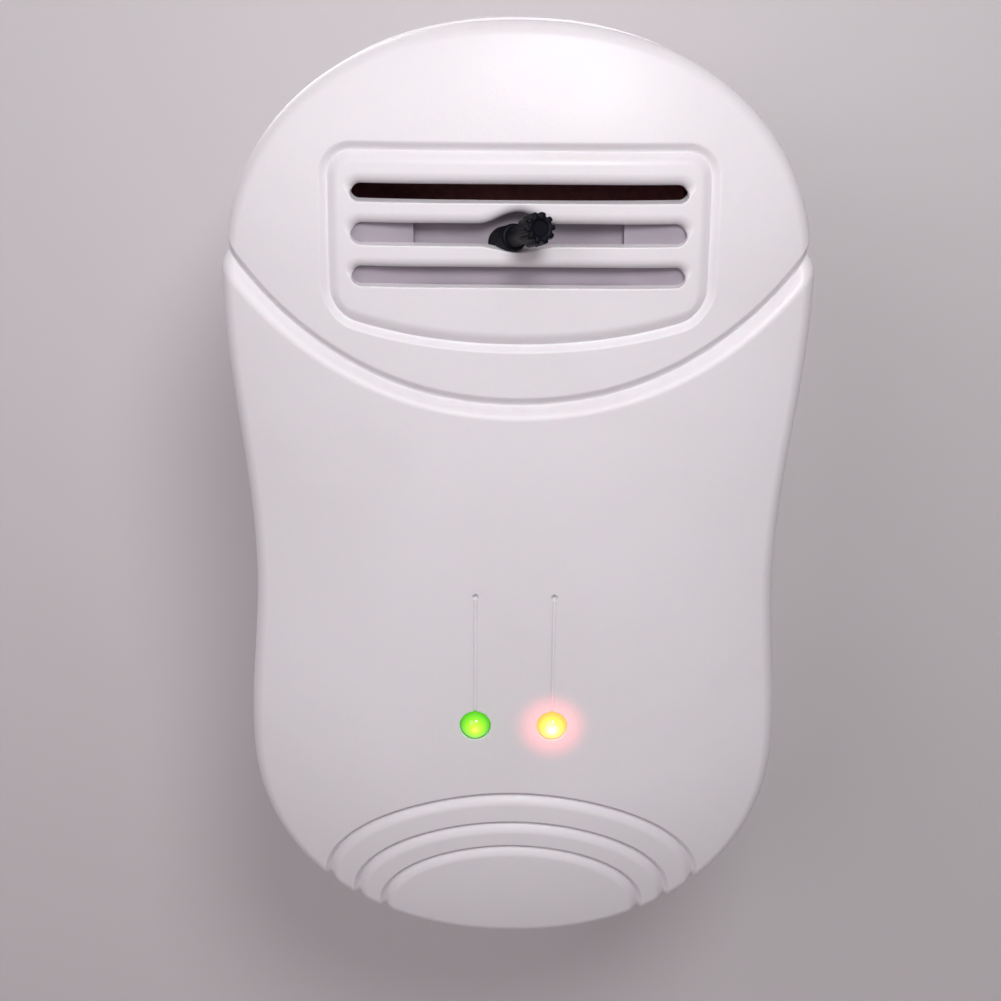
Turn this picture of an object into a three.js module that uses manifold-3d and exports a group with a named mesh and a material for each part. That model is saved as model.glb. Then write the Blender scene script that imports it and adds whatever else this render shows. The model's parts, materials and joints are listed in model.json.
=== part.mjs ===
// Plug-in ultrasonic pest repeller. Millimetres, +Z up, the front faces -Y and the plug pins point along +Y.
// The origin is on the flat rear face, midway between the pins.
import * as THREE from "three";
import { mergeVertices } from "three/addons/utils/BufferGeometryUtils.js";
import Module from "manifold-3d";

const wasm = await Module();
wasm.setup();

// ---- Case outline, seen from the front and centred on the case ----
const HEIGHT = 96.5;
const UPPER_WIDTH = 56;
const LOWER_WIDTH = 54.7;
const WAIST_WIDTH = 52.2;
const LOBE_FROM_END = 24.25; // from the top or bottom of the case to its widest level
const WAIST_DROP = 4; // the narrowest level, below the middle of the case
const TOP_SQUARENESS = 2.18; // 2 is an ellipse
const BOTTOM_SQUARENESS = 2.14;

// ---- Case depth ----
const DEPTH = 36; // rear face to the crown of the front
const EDGE_ROUND = 1.2; // width of the rounded edge of the front
const EDGE_RISE = 1;
const PILLOW_REACH = 20; // width of the gentle dome inside the rounded edge
const PILLOW_RISE = 3;
const TAPER = 1; // how much the rear face is smaller all round than the front rim
const COVER_DEPTH = 14; // crown of the front to the seam
const WALL = 2;
const REAR_ROUND = 2.4;
const SEAM_GAP = 0.3;
const LIP_HEIGHT = 2.2;
const LIP_THICKNESS = 1;
const GAP = 0.3; // between touching pieces

// ---- Upper face details; a drop is measured down from the top of the case ----
const LENS_DEPTH = 0.4; // the upper lens lies this much below the rest of the face
const LENS_INSET = 0.25;
const LENS_BOTTOM_DROP = 34.35;
const LENS_SIDE_DROP = 22.05; // to the lens's edge at LENS_HALF_WIDTH
const LENS_HALF_WIDTH = 25.9;
const GROOVE_WIDTH = 1.25;
const GROOVE_DEPTH = 0.95;
const GROOVE_LAP = 0.35; // how much of the groove lies inside the lens
const FRAME_TOP_DROP = 10.75;
const FRAME_CORNER_DROP = 26.05;
const FRAME_BOTTOM_DROP = 28.75;
const FRAME_MARGIN = 2.2; // past the ends of the slots
const FRAME_CORNER_RADIUS = 2.4;
const FRAME_GROOVE_WIDTH = 1.1;
const FRAME_GROOVE_DEPTH = 0.45;
const SLOT_HALF_LENGTH = 15.6;
const SLOTS = [
  { drop: 14.8, height: 1.35 },
  { drop: 18.68, height: 2.0 },
  { drop: 22.6, height: 1.75 },
];
const EYE_RADIUS = 1.9; // the widening of the middle slot for the shaft
const EYE_HALF_LENGTH = 3.5;
const EYE_DROP = 18.41;

// ---- Lower face details; a rise is measured up from the bottom of the case ----
const LED_SPACING = 7.8;
const LED_RISE = 27.9;
const LINE_LENGTH = 14.35; // from the lamp up to the pit
const PIT_RADIUS = 0.4;
const PIT_DEPTH = 0.5;
const LINE_WIDTH = 0.5;
const LINE_DEPTH = 0.25;
const ARC_GROOVES = [
  { top: 20.15, side: 9.95, halfWidth: 19.5 },
  { top: 16.85, side: 6.85, halfWidth: 16.6 },
  { top: 13.8, side: 4.85, halfWidth: 13.7 },
]; // rises of each groove's middle and of its ends
const ARC_GROOVE_WIDTH = 1.2;
const ARC_GROOVE_DEPTH = 0.5;

// ---- Plug ----
const PIN_RISE = 15; // the pins, above the middle of the case
const PIN_SPACING = 19;
const PIN_LENGTH = 19;
const PIN_RADIUS = 2;
const PIN_CORE_RADIUS = 1.2;
const SLEEVE_LENGTH = 10;
const SLEEVE_GAP = 0.25;
const PIN_FLANGE_RADIUS = 3.2;
const PIN_FLANGE_THICKNESS = 1.2;
const PIN_TAIL = 4.5;
const CLAMP_THICKNESS = 2;
const CLAMP_SCREW_SPACING = 8.4;
const CLAMP_SCREW_RADIUS = 0.9;
const CLAMP_SCREW_HEAD_RADIUS = 1.8;
const CLAMP_SCREW_HEAD = 1.2;
const CLAMP_SCREW_LENGTH = 4;
const CLAMP_POST_RADIUS = 2;
const MAINS_WIRE_RADIUS = 0.9;
const MAINS_WIRE_SPREAD = 1.5; // sideways, from the pin's tail to the board
const MAINS_WIRE_FALL = 9.5;

// ---- Rating label ----
const LABEL_WIDTH = 30;
const LABEL_HEIGHT = 18;
const LABEL_BELOW_PINS = 27; // down to the label's middle
const LABEL_CORNER = 1;
const LABEL_MARGIN = 0.5; // of the recess round the label
const LABEL_RECESS = 0.6;
const LABEL_THICKNESS = 0.2;

// ---- Screws ----
const CASE_SCREW_FROM_SIDE = 7.4;
const CASE_SCREW_PAST_UPPER_LOBE = 7.5;
const CASE_SCREW_PAST_LOWER_LOBE = 4;
const CASE_SCREW_RADIUS = 1.4;
const CASE_SCREW_HEAD_RADIUS = 2.3;
const CASE_SCREW_HEAD = 1.8;
const CASE_SCREW_SINK = 9; // depth of the counterbore in the rear face
const CASE_SCREW_BITE = 8; // length of screw in the front boss
const TOWER_WALL = 1;
const BOARD_SCREW_FROM_SIDE = 9.1; // at the waist
const BOARD_SCREW_DROP = 2; // below the waist
const BOARD_SCREW_RADIUS = 1.1;
const BOARD_SCREW_HEAD_RADIUS = 2.2;
const BOARD_SCREW_HEAD = 1.3;
const BOARD_SCREW_LENGTH = 8;
const BOARD_POST_RADIUS = 2.6;
const SCREW_PLAY = 0.2; // radial, screw to hole

// ---- Board and what is on it ----
const BOARD_BEHIND_CROWN = 15;
const BOARD_THICKNESS = 1.6;
const BOARD_EDGE_GAP = 1.2;
const LED_RADIUS = 1.5;
const LED_FLANGE_RADIUS = 1.9;
const LED_PROUD = 0.9;
const LED_HEIGHT = 5.3;
const LED_SPACER_RADIUS = 2.4;
const TRIMMER_LEAN_RIGHT = 21.3; // degrees: the trimmer is soldered in crooked
const TRIMMER_LEAN_UP = 17.6;
const TRIMMER_X = -0.9; // where the shaft crosses the inside of the cover
const TRIMMER_DROP = 19.3;
const TRIMMER_WIDTH = 7;
const TRIMMER_HEIGHT = 7.6;
const TRIMMER_THICKNESS = 4;
const TRIMMER_BEHIND_COVER = 6.2; // from the inside of the cover, along the shaft
const TRIMMER_COLLAR = 0.8;
const TRIMMER_LEG_RADIUS = 0.35;
const TRIMMER_LEG_PITCH = 2.5;
const SHAFT_PROUD = 7.9; // from the inside of the cover to the shaft's tip, along the shaft
const SHAFT_RADIUS = 1.05;
const SHAFT_BASE_RADIUS = 1.25;
const SHAFT_BASE_PROUD = 1.6;
const SHAFT_CHAMFER = 0.15;
const SHAFT_PLAY = 0.4; // round the shaft, in the cover and the plate
const SHAFT_RELIEF = 0.9; // how far the cover's inside is cut away round the shaft
const SPLINE_RADIUS = 1.45;
const SPLINE_LENGTH = 2.5;
const SPLINE_TEETH = 10;
const SPLINE_DEPTH = 0.3;
const TOOTH_FLAT = 0.06; // half the flat on each tooth, in radians
const ROTOR_RADIUS = 2.6;
const ROTOR_THICKNESS = 1.6;
const ROTOR_DEPTH = 1.2; // from the front of the trimmer's body
const ROTOR_GAP = 0.2;
const PLATE_OVERHANG = 1; // past the ends of the slots
const PLATE_TOP_DROP = 16.55;
const PLATE_HEIGHT = 10.5;
const PLATE_THICKNESS = 1.8;
const POCKET_HALF_WIDTH = 9.7;
const POCKET_DEPTH = 1;
const PLATE_CORNER = 1;
const PLATE_BEHIND_COVER = 0.8; // at the crown
const PEG_RADIUS = 1.1;
const PEG_FROM_SLOT_END = 2.6;
const PEG_ABOVE_PLATE_FOOT = 1.5;
const PEG_PROUD = 1;
const TRANSDUCER_RADIUS = 5;
const TRANSDUCER_DROP = 8.95;
const TRANSDUCER_HEIGHT = 7;
const DIODES = 4;
const DIODE_PITCH = 3.4;
const RESISTORS = 4;
const RESISTOR_PITCH = 3;
const CHIP_LEG_PITCH = 2.54;

// ---- Worked out from the sizes above ----
const CROWN_Y = -DEPTH;
const RIM_Y = CROWN_Y + EDGE_RISE + PILLOW_RISE;
const SEAM_Y = CROWN_Y + COVER_DEPTH;
const INSIDE_Y = CROWN_Y + WALL; // inside of the cover at its crown
const BOARD_FRONT = CROWN_Y + BOARD_BEHIND_CROWN;
const BOARD_BACK = BOARD_FRONT + BOARD_THICKNESS;
const TOP = HEIGHT / 2; // heights are measured from the middle of the case
const BOTTOM = -TOP;
const UPPER_LOBE = TOP - LOBE_FROM_END;
const LOWER_LOBE = BOTTOM + LOBE_FROM_END;
const FRAME_HALF_WIDTH = SLOT_HALF_LENGTH + FRAME_MARGIN;
const LED_LEVEL = BOTTOM + LED_RISE;
const PIT_LEVEL = LED_LEVEL + LINE_LENGTH;
const TRIMMER_LEVEL = TOP - TRIMMER_DROP;
const BOARD_SCREW_X = WAIST_WIDTH / 2 - BOARD_SCREW_FROM_SIDE;
const BOARD_SCREW_LEVEL = -WAIST_DROP - BOARD_SCREW_DROP;
const FAR = 2 * (HEIGHT + DEPTH); // beyond everything
const MESH_TOLERANCE = 0.005;
const TOWER_RADIUS = CASE_SCREW_HEAD_RADIUS + SCREW_PLAY + TOWER_WALL;
const CASE_SCREW_SHOULDER_Y = -CASE_SCREW_SINK;
const CASE_SCREW_TIP_Y = SEAM_Y - CASE_SCREW_BITE;
const PEG_X = SLOT_HALF_LENGTH - PEG_FROM_SLOT_END;
const PEG_LEVEL = TOP - PLATE_TOP_DROP - PLATE_HEIGHT + PEG_ABOVE_PLATE_FOOT;
const PLATE_FRONT_Y = INSIDE_Y + PLATE_BEHIND_COVER;
const PEG_END_Y = PLATE_FRONT_Y + PLATE_THICKNESS + PEG_PROUD;
const PIN_FLANGE_Y = -WALL - GAP; // rear face of the flange
const PIN_TAIL_Y = PIN_FLANGE_Y - PIN_FLANGE_THICKNESS - PIN_TAIL;
const CLAMP_BACK_Y = PIN_FLANGE_Y - PIN_FLANGE_THICKNESS - GAP;
const CLAMP_FRONT_Y = CLAMP_BACK_Y - CLAMP_THICKNESS;
const LABEL_LEVEL = PIN_RISE - LABEL_BELOW_PINS;
const TRIMMER_BACK = TRIMMER_BEHIND_COVER + TRIMMER_THICKNESS;
const ROTOR_FRONT = TRIMMER_BEHIND_COVER + ROTOR_DEPTH;
const ROTOR_BACK = ROTOR_FRONT + ROTOR_THICKNESS;

// ---- Geometry helpers ----
function solid(geometry) {
  const plain = geometry.clone();
  for (const name of ["normal", "uv"]) plain.deleteAttribute(name);
  const merged = mergeVertices(plain, 1e-5);
  return new wasm.Manifold(
    new wasm.Mesh({
      numProp: 3,
      vertProperties: merged.attributes.position.array,
      triVerts: new Uint32Array(merged.index.array),
    }),
  );
}

function geometryOf(manifold) {
  const mesh = manifold.simplify(MESH_TOLERANCE).getMesh();
  const geometry = new THREE.BufferGeometry();
  geometry.setAttribute("position", new THREE.BufferAttribute(mesh.vertProperties, 3));
  geometry.setIndex(new THREE.BufferAttribute(mesh.triVerts, 1));
  geometry.computeVertexNormals();
  return geometry;
}

// A shape drawn in X and Z, extruded along Y from y0 to y1.
function prism(shape, y0, y1, curveSegments = 5) {
  const geometry = new THREE.ExtrudeGeometry(shape, {
    depth: y1 - y0,
    bevelEnabled: false,
    curveSegments,
  });
  return solid(geometry.rotateX(Math.PI / 2).translate(0, y1, 0));
}

// A round bar along Y.
function bar(radius, y0, y1, x = 0, z = 0, sides = 20) {
  return solid(new THREE.CylinderGeometry(radius, radius, y1 - y0, sides).translate(x, (y0 + y1) / 2, z));
}

function box(width, y0, y1, height, x = 0, z = 0) {
  return solid(new THREE.BoxGeometry(width, y1 - y0, height).translate(x, (y0 + y1) / 2, z));
}

// A turned piece about the Y axis; the profile lists [radius, y] with y rising.
function turned(profile, sides = 20) {
  return solid(new THREE.LatheGeometry(profile.map(([r, y]) => new THREE.Vector2(r, y)), sides));
}

// A round wire along a path.
function wire(points, radius, steps, sides = 8) {
  const section = new THREE.Shape();
  for (let i = 0; i < sides; i++) {
    const angle = (2 * Math.PI * i) / sides;
    const [x, y] = [radius * Math.cos(angle), radius * Math.sin(angle)];
    if (i) section.lineTo(x, y);
    else section.moveTo(x, y);
  }
  const path = new THREE.CatmullRomCurve3(points.map((p) => new THREE.Vector3(...p)));
  return solid(new THREE.ExtrudeGeometry(section, { steps, extrudePath: path, bevelEnabled: false }));
}

function roundedRect(width, height, radius, x = 0, z = 0) {
  const shape = new THREE.Shape();
  const [w, h, r] = [width / 2, height / 2, Math.min(radius, width / 2, height / 2)];
  shape.moveTo(x + w, z - h + r);
  shape.lineTo(x + w, z + h - r);
  shape.absarc(x + w - r, z + h - r, r, 0, Math.PI / 2);
  shape.lineTo(x - w + r, z + h);
  shape.absarc(x - w + r, z + h - r, r, Math.PI / 2, Math.PI);
  shape.lineTo(x - w, z - h + r);
  shape.absarc(x - w + r, z - h + r, r, Math.PI, 1.5 * Math.PI);
  shape.lineTo(x + w - r, z - h);
  shape.absarc(x + w - r, z - h + r, r, 1.5 * Math.PI, 2 * Math.PI);
  return shape;
}

const joined = (pieces) => pieces.reduce((a, b) => a.add(b));
const each = (list, make) => joined(list.map(make));
const cutAway = (body, holes) => holes.reduce((rest, hole) => rest.subtract(hole), body);
const bothSides = [-1, 1];
const fourCaseScrews = bothSides.flatMap((side) => [
  [side * (UPPER_WIDTH / 2 - CASE_SCREW_FROM_SIDE), UPPER_LOBE + CASE_SCREW_PAST_UPPER_LOBE],
  [side * (LOWER_WIDTH / 2 - CASE_SCREW_FROM_SIDE), LOWER_LOBE - CASE_SCREW_PAST_LOWER_LOBE],
]);

// ---- Case outline ----
// One end of the outline: a quarter of a superellipse from the widest level to the tip.
function endPoint(halfWidth, squareness, angle) {
  const power = 2 / squareness;
  return [halfWidth * Math.cos(angle) ** power, LOBE_FROM_END * Math.sin(angle) ** power];
}

// The side between the two widest levels: two half waves that meet at the waist.
function sideX(z) {
  const upper = z > -WAIST_DROP;
  const lobe = upper ? UPPER_LOBE : LOWER_LOBE;
  const lobeWidth = upper ? UPPER_WIDTH : LOWER_WIDTH;
  const share = (z + WAIST_DROP) / (lobe + WAIST_DROP);
  const wave = (1 - Math.cos(Math.PI * share)) / 2;
  return (WAIST_WIDTH + (lobeWidth - WAIST_WIDTH) * wave) / 2;
}

// The right half from the top tip down to the bottom tip, then mirrored: a closed loop of [x, z].
function outlinePoints(endSteps = 13, sideSteps = 11) {
  const half = [];
  for (let i = endSteps; i > 0; i--) {
    const [x, rise] = endPoint(UPPER_WIDTH / 2, TOP_SQUARENESS, (Math.PI / 2) * (i / endSteps));
    half.push([i === endSteps ? 0 : x, UPPER_LOBE + rise]);
  }
  for (let i = 0; i <= sideSteps; i++) {
    const z = UPPER_LOBE + ((LOWER_LOBE - UPPER_LOBE) * i) / sideSteps;
    half.push([sideX(z), z]);
  }
  for (let i = 1; i <= endSteps; i++) {
    const [x, fall] = endPoint(LOWER_WIDTH / 2, BOTTOM_SQUARENESS, (Math.PI / 2) * (i / endSteps));
    half.push([i === endSteps ? 0 : x, LOWER_LOBE - fall]);
  }
  const mirrored = half.slice(1, -1).reverse().map(([x, z]) => [-x, z]);
  return [...half, ...mirrored];
}

const OUTLINE = outlinePoints();
const NORMALS = OUTLINE.map((_, i) => {
  const count = OUTLINE.length;
  const [x0, z0] = OUTLINE[(i + count - 1) % count];
  const [x1, z1] = OUTLINE[(i + 1) % count];
  const length = Math.hypot(x1 - x0, z1 - z0);
  return [-(z1 - z0) / length, (x1 - x0) / length];
});

// The outline moved inwards, as [x, z] points.
function ring(inset) {
  return OUTLINE.map(([x, z], i) => [x - inset * NORMALS[i][0], z - inset * NORMALS[i][1]]);
}

function ringShape(inset) {
  return new THREE.Shape(ring(inset).map(([x, z]) => new THREE.Vector2(x, z)).reverse());
}

// A closed solid through rings of the outline, each { inset, y }, with y falling towards the front.
function loft(levels) {
  const count = OUTLINE.length;
  const vertices = levels.flatMap(({ inset, y }) => ring(inset).flatMap(([x, z]) => [x, y, z]));
  const faces = [];
  for (let level = 0; level + 1 < levels.length; level++)
    for (let i = 0; i < count; i++) {
      const j = (i + 1) % count;
      const [a, b] = [level * count + i, level * count + j];
      faces.push(a, a + count, b, b, a + count, b + count);
    }
  const back = levels.length * count;
  vertices.push(0, levels[0].y, 0, 0, levels.at(-1).y, 0);
  const last = (levels.length - 1) * count;
  for (let i = 0; i < count; i++) {
    const j = (i + 1) % count;
    faces.push(back, i, j, back + 1, last + j, last + i);
  }
  const geometry = new THREE.BufferGeometry();
  geometry.setAttribute("position", new THREE.Float32BufferAttribute(vertices, 3));
  geometry.setIndex(faces);
  return solid(geometry);
}

// How much the outline has drawn in at a depth, on its way from the front rim to the rear face.
const taper = (y) => (TAPER * (y - RIM_Y)) / -RIM_Y;

// How far the face stands in front of the rim, at a distance inside the outline.
function faceRise(distance) {
  const edge = 1 - Math.min(distance / EDGE_ROUND, 1);
  const pillow = 1 - Math.min(distance / PILLOW_REACH, 1);
  return EDGE_RISE * Math.sqrt(1 - edge * edge) + PILLOW_RISE * (1 - pillow * pillow);
}

// The case's outer form moved inwards all round, and its face moved back.
function domed(inset, drop, backY) {
  const steps = 4;
  const distances = [0];
  for (let i = 1; i <= steps; i++) {
    const angle = (Math.PI / 2) * (i / steps);
    distances.push(EDGE_ROUND * (1 - Math.cos(angle)));
  }
  for (let i = 1; i <= steps; i++) distances.push(EDGE_ROUND + ((PILLOW_REACH - EDGE_ROUND) * i) / steps);
  const face = distances.map((d) => ({ inset: inset + d, y: RIM_Y + drop - faceRise(d) }));
  return loft([{ inset: inset + taper(backY), y: backY }, ...face]);
}

// ---- Cuts in the front face ----
// Centre height and radius of the arc through (0, middle) and (halfWidth, side).
function arcThrough(middle, side, halfWidth) {
  const rise = side - middle;
  const radius = (halfWidth * halfWidth + rise * rise) / (2 * Math.abs(rise));
  return { radius, centre: middle + Math.sign(rise) * radius };
}

function disc(radius, z) {
  const shape = new THREE.Shape();
  shape.absarc(0, z, radius, 0, 2 * Math.PI);
  return prism(shape, -FAR, FAR, 48);
}

// Everything inside an arc groove's outer edge, less everything inside its inner edge.
function arcBand({ radius, centre }, width, above) {
  const half = box(FAR, -FAR, FAR, FAR, 0, centre + (above ? FAR / 2 : -FAR / 2));
  return disc(radius + width / 2, centre).subtract(disc(radius - width / 2, centre)).intersect(half);
}

function frameShape(grow) {
  const side = FRAME_HALF_WIDTH + grow;
  const top = TOP - FRAME_TOP_DROP + grow;
  const r = FRAME_CORNER_RADIUS + grow;
  const { radius, centre } = arcThrough(TOP - FRAME_BOTTOM_DROP, TOP - FRAME_CORNER_DROP, FRAME_HALF_WIDTH);
  const bottomRadius = radius + grow;
  const reach = bottomRadius - r;
  const cornerX = side - r;
  const cornerZ = centre - Math.sqrt(reach * reach - cornerX * cornerX);
  const tangent = Math.atan2(cornerZ - centre, cornerX);
  const shape = new THREE.Shape();
  shape.moveTo(side, cornerZ);
  shape.lineTo(side, top - r);
  shape.absarc(side - r, top - r, r, 0, Math.PI / 2);
  shape.lineTo(r - side, top);
  shape.absarc(r - side, top - r, r, Math.PI / 2, Math.PI);
  shape.lineTo(-side, cornerZ);
  shape.absarc(-cornerX, cornerZ, r, Math.PI, 2 * Math.PI + (-Math.PI - tangent));
  shape.absarc(0, centre, bottomRadius, -Math.PI - tangent, tangent);
  shape.absarc(cornerX, cornerZ, r, tangent, 0);
  return shape;
}

function frameBand() {
  const half = FRAME_GROOVE_WIDTH / 2;
  return prism(frameShape(half), -FAR, FAR).subtract(prism(frameShape(-half), -FAR, FAR));
}

function slotCuts() {
  const cuts = each(SLOTS, ({ drop, height }) =>
    prism(roundedRect(2 * SLOT_HALF_LENGTH, height, height / 2, 0, TOP - drop), -FAR, BOARD_FRONT, 6),
  );
  const eye = new THREE.Shape();
  eye.absellipse(0, TOP - EYE_DROP, EYE_HALF_LENGTH, EYE_RADIUS, 0, 2 * Math.PI);
  return cuts.add(prism(eye, -FAR, BOARD_FRONT, 16));
}

function engravedLines() {
  return each(bothSides, (side) => {
    const x = (side * LED_SPACING) / 2;
    return box(LINE_WIDTH, -FAR, FAR, PIT_LEVEL - LED_LEVEL, x, (PIT_LEVEL + LED_LEVEL) / 2);
  });
}

// What a band cuts away when its floor follows the face at this depth.
const sunk = (band, depth) => band.subtract(domed(depth / 2, depth, FAR));

function lensCuts() {
  const arc = arcThrough(TOP - LENS_BOTTOM_DROP, TOP - LENS_SIDE_DROP, LENS_HALF_WIDTH);
  const above = box(FAR, -FAR, FAR, FAR, 0, arc.centre + FAR / 2);
  const lens = disc(arc.radius, arc.centre).add(above).subtract(domed(LENS_INSET, LENS_DEPTH, FAR));
  const grooveRadius = arc.radius + GROOVE_WIDTH / 2 - GROOVE_LAP;
  const groove = arcBand({ radius: grooveRadius, centre: arc.centre }, GROOVE_WIDTH, false);
  return [lens, sunk(groove, GROOVE_DEPTH)];
}

function arcGrooveCuts() {
  return ARC_GROOVES.map(({ top, side, halfWidth }) => {
    const arc = arcThrough(BOTTOM + top, BOTTOM + side, halfWidth);
    return sunk(arcBand(arc, ARC_GROOVE_WIDTH, true), ARC_GROOVE_DEPTH);
  });
}

// The bosses that take the case screws and the pegs that hold the plate, trimmed to the inside of the cover.
function coverPosts() {
  const bosses = each(fourCaseScrews, ([x, z]) => bar(TOWER_RADIUS, -FAR, SEAM_Y - SEAM_GAP, x, z));
  const pegs = each(bothSides, (side) => bar(PEG_RADIUS, -FAR, PEG_END_Y, side * PEG_X, PEG_LEVEL, 16));
  return bosses.add(pegs).intersect(domed(WALL / 2, WALL / 2, SEAM_Y));
}

// Front cover: domed shell with its lens, grooves, slots, lamp holes, screw bosses and plate pegs.
function frontCover() {
  const lampX = LED_SPACING / 2;
  const pits = each(bothSides, (side) => bar(PIT_RADIUS, -FAR, FAR, side * lampX, PIT_LEVEL, 12));
  const marks = [
    ...lensCuts(),
    ...arcGrooveCuts(),
    sunk(frameBand(), LENS_DEPTH + FRAME_GROOVE_DEPTH),
    sunk(engravedLines(), LINE_DEPTH),
    sunk(pits, PIT_DEPTH),
  ];
  const shell = cutAway(domed(0, 0, SEAM_Y), [...marks, domed(WALL, WALL, FAR)]);
  const pilots = each(fourCaseScrews, ([x, z]) =>
    bar(CASE_SCREW_RADIUS + SCREW_PLAY, CASE_SCREW_TIP_Y - GAP, 0, x, z, 16),
  );
  const lampHoles = each(bothSides, (side) => bar(LED_RADIUS + GAP / 2, -FAR, 0, side * lampX, LED_LEVEL));
  const relief = leaning(bar(SHAFT_BASE_RADIUS + SHAFT_PLAY, -SHAFT_RELIEF, TRIMMER_BEHIND_COVER));
  return cutAway(shell.add(coverPosts()), [pilots, lampHoles, slotCuts(), relief]);
}

// ---- Rear cover ----
// The tray's outer form, rounded at its rear edge.
function rearOuter() {
  const steps = 4;
  const rings = [];
  for (let i = 0; i <= steps; i++) {
    const angle = (Math.PI / 2) * (i / steps);
    const y = -REAR_ROUND * (1 - Math.cos(angle));
    rings.push({ inset: REAR_ROUND * (1 - Math.sin(angle)) + taper(y), y });
  }
  return loft([...rings, { inset: taper(SEAM_Y + SEAM_GAP), y: SEAM_Y + SEAM_GAP }]);
}

// The rim that slips inside the front cover, clear of the bosses there.
function rearLip() {
  const edge = WALL + taper(SEAM_Y) + GAP;
  const inner = prism(ringShape(edge + LIP_THICKNESS), -FAR, 0);
  const lip = prism(ringShape(edge), SEAM_Y - LIP_HEIGHT, SEAM_Y + LIP_HEIGHT);
  const root = prism(ringShape(WALL / 2), SEAM_Y + SEAM_GAP, SEAM_Y + LIP_HEIGHT);
  const bossRoom = each(fourCaseScrews, ([x, z]) => bar(TOWER_RADIUS + GAP, -FAR, SEAM_Y, x, z));
  return lip.subtract(bossRoom).add(root).subtract(inner);
}

function rearPosts() {
  const towers = each(fourCaseScrews, ([x, z]) => bar(TOWER_RADIUS, SEAM_Y, -WALL / 2, x, z));
  const boardPosts = each(bothSides, (side) =>
    bar(BOARD_POST_RADIUS, BOARD_BACK + GAP, -WALL / 2, side * BOARD_SCREW_X, BOARD_SCREW_LEVEL),
  );
  const clampPosts = each(bothSides, (side) =>
    bar(CLAMP_POST_RADIUS, CLAMP_BACK_Y + GAP, -WALL / 2, (side * CLAMP_SCREW_SPACING) / 2, PIN_RISE, 16),
  );
  return joined([towers, boardPosts, clampPosts]);
}

// Rear cover: a tray with screw towers, posts, pin holes and a recess for the label.
function rearCover() {
  const room = [-WALL, SEAM_Y].map((y) => ({ inset: WALL + taper(y), y }));
  const tray = rearOuter().subtract(loft(room));
  const boardBoreEnd = BOARD_FRONT + BOARD_SCREW_LENGTH + 1;
  const through = each(fourCaseScrews, ([x, z]) => bar(CASE_SCREW_RADIUS + SCREW_PLAY, -FAR, FAR, x, z, 16));
  const sinks = each(fourCaseScrews, ([x, z]) =>
    bar(CASE_SCREW_HEAD_RADIUS + SCREW_PLAY, CASE_SCREW_SHOULDER_Y, FAR, x, z),
  );
  const boardBores = each(bothSides, (side) =>
    bar(BOARD_SCREW_RADIUS + SCREW_PLAY, -FAR, boardBoreEnd, side * BOARD_SCREW_X, BOARD_SCREW_LEVEL, 16),
  );
  const pinHoles = each(bothSides, (side) =>
    bar(PIN_RADIUS + SLEEVE_GAP, -FAR, FAR, (side * PIN_SPACING) / 2, PIN_RISE, 32),
  );
  const clampBores = each(bothSides, (side) =>
    bar(CLAMP_SCREW_RADIUS + SCREW_PLAY, -FAR, -WALL / 2, (side * CLAMP_SCREW_SPACING) / 2, PIN_RISE, 12),
  );
  const recess = prism(labelShape(LABEL_MARGIN), -LABEL_RECESS, FAR);
  return cutAway(joined([tray, rearLip(), rearPosts()]), [
    through, sinks, boardBores, pinHoles, clampBores, recess,
  ]);
}

function labelShape(grow) {
  return roundedRect(LABEL_WIDTH + 2 * grow, LABEL_HEIGHT + 2 * grow, LABEL_CORNER + grow, 0, LABEL_LEVEL);
}

function ratingLabel() {
  const front = GAP - LABEL_RECESS;
  return prism(labelShape(0), front, front + LABEL_THICKNESS);
}

// ---- Fasteners ----
// A pan-head screw driven towards -Y: its head lies behind y = 0, its tip in front.
function screw(radius, headRadius, headHeight, length) {
  const body = turned([
    [0, -length],
    [radius * 0.5, -length],
    [radius, -length + radius],
    [radius, 0],
    [headRadius, 0],
    [headRadius, headHeight * 0.6],
    [headRadius * 0.7, headHeight],
    [0, headHeight],
  ]);
  const slot = (w, h) => box(w, headHeight * 0.5, FAR, h);
  const arm = headRadius * 1.1;
  return body.subtract(slot(arm, headRadius * 0.25).add(slot(headRadius * 0.25, arm)));
}

// ---- Board ----
function circuitBoard() {
  const edge = WALL + GAP + LIP_THICKNESS + BOARD_EDGE_GAP;
  let board = prism(ringShape(edge), BOARD_FRONT, BOARD_BACK);
  for (const [x, z] of fourCaseScrews)
    board = board.subtract(bar(TOWER_RADIUS + 2 * GAP, -FAR, FAR, x, z));
  for (const side of bothSides)
    board = board.subtract(
      bar(BOARD_SCREW_RADIUS + SCREW_PLAY, -FAR, FAR, side * BOARD_SCREW_X, BOARD_SCREW_LEVEL, 16),
    );
  return board;
}

// A lamp with a domed lens, standing on y = 0 and pointing along -Y.
function lamp() {
  const shoulder = LED_HEIGHT - LED_RADIUS;
  const profile = [[0, -LED_HEIGHT]];
  for (let i = 1; i <= 6; i++) {
    const angle = (Math.PI / 2) * (i / 6);
    profile.push([LED_RADIUS * Math.sin(angle), -shoulder - LED_RADIUS * Math.cos(angle)]);
  }
  profile.push([LED_RADIUS, -1], [LED_FLANGE_RADIUS, -1], [LED_FLANGE_RADIUS, 0], [0, 0]);
  return turned(profile, 24);
}

function electrolytic(radius, height) {
  return turned([
    [0, -height],
    [radius * 0.9, -height],
    [radius, -height + 0.4],
    [radius, -2.2],
    [radius * 0.93, -1.8],
    [radius, -1.4],
    [radius, -0.3],
    [radius * 0.92, 0],
    [0, 0],
  ]);
}

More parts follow.
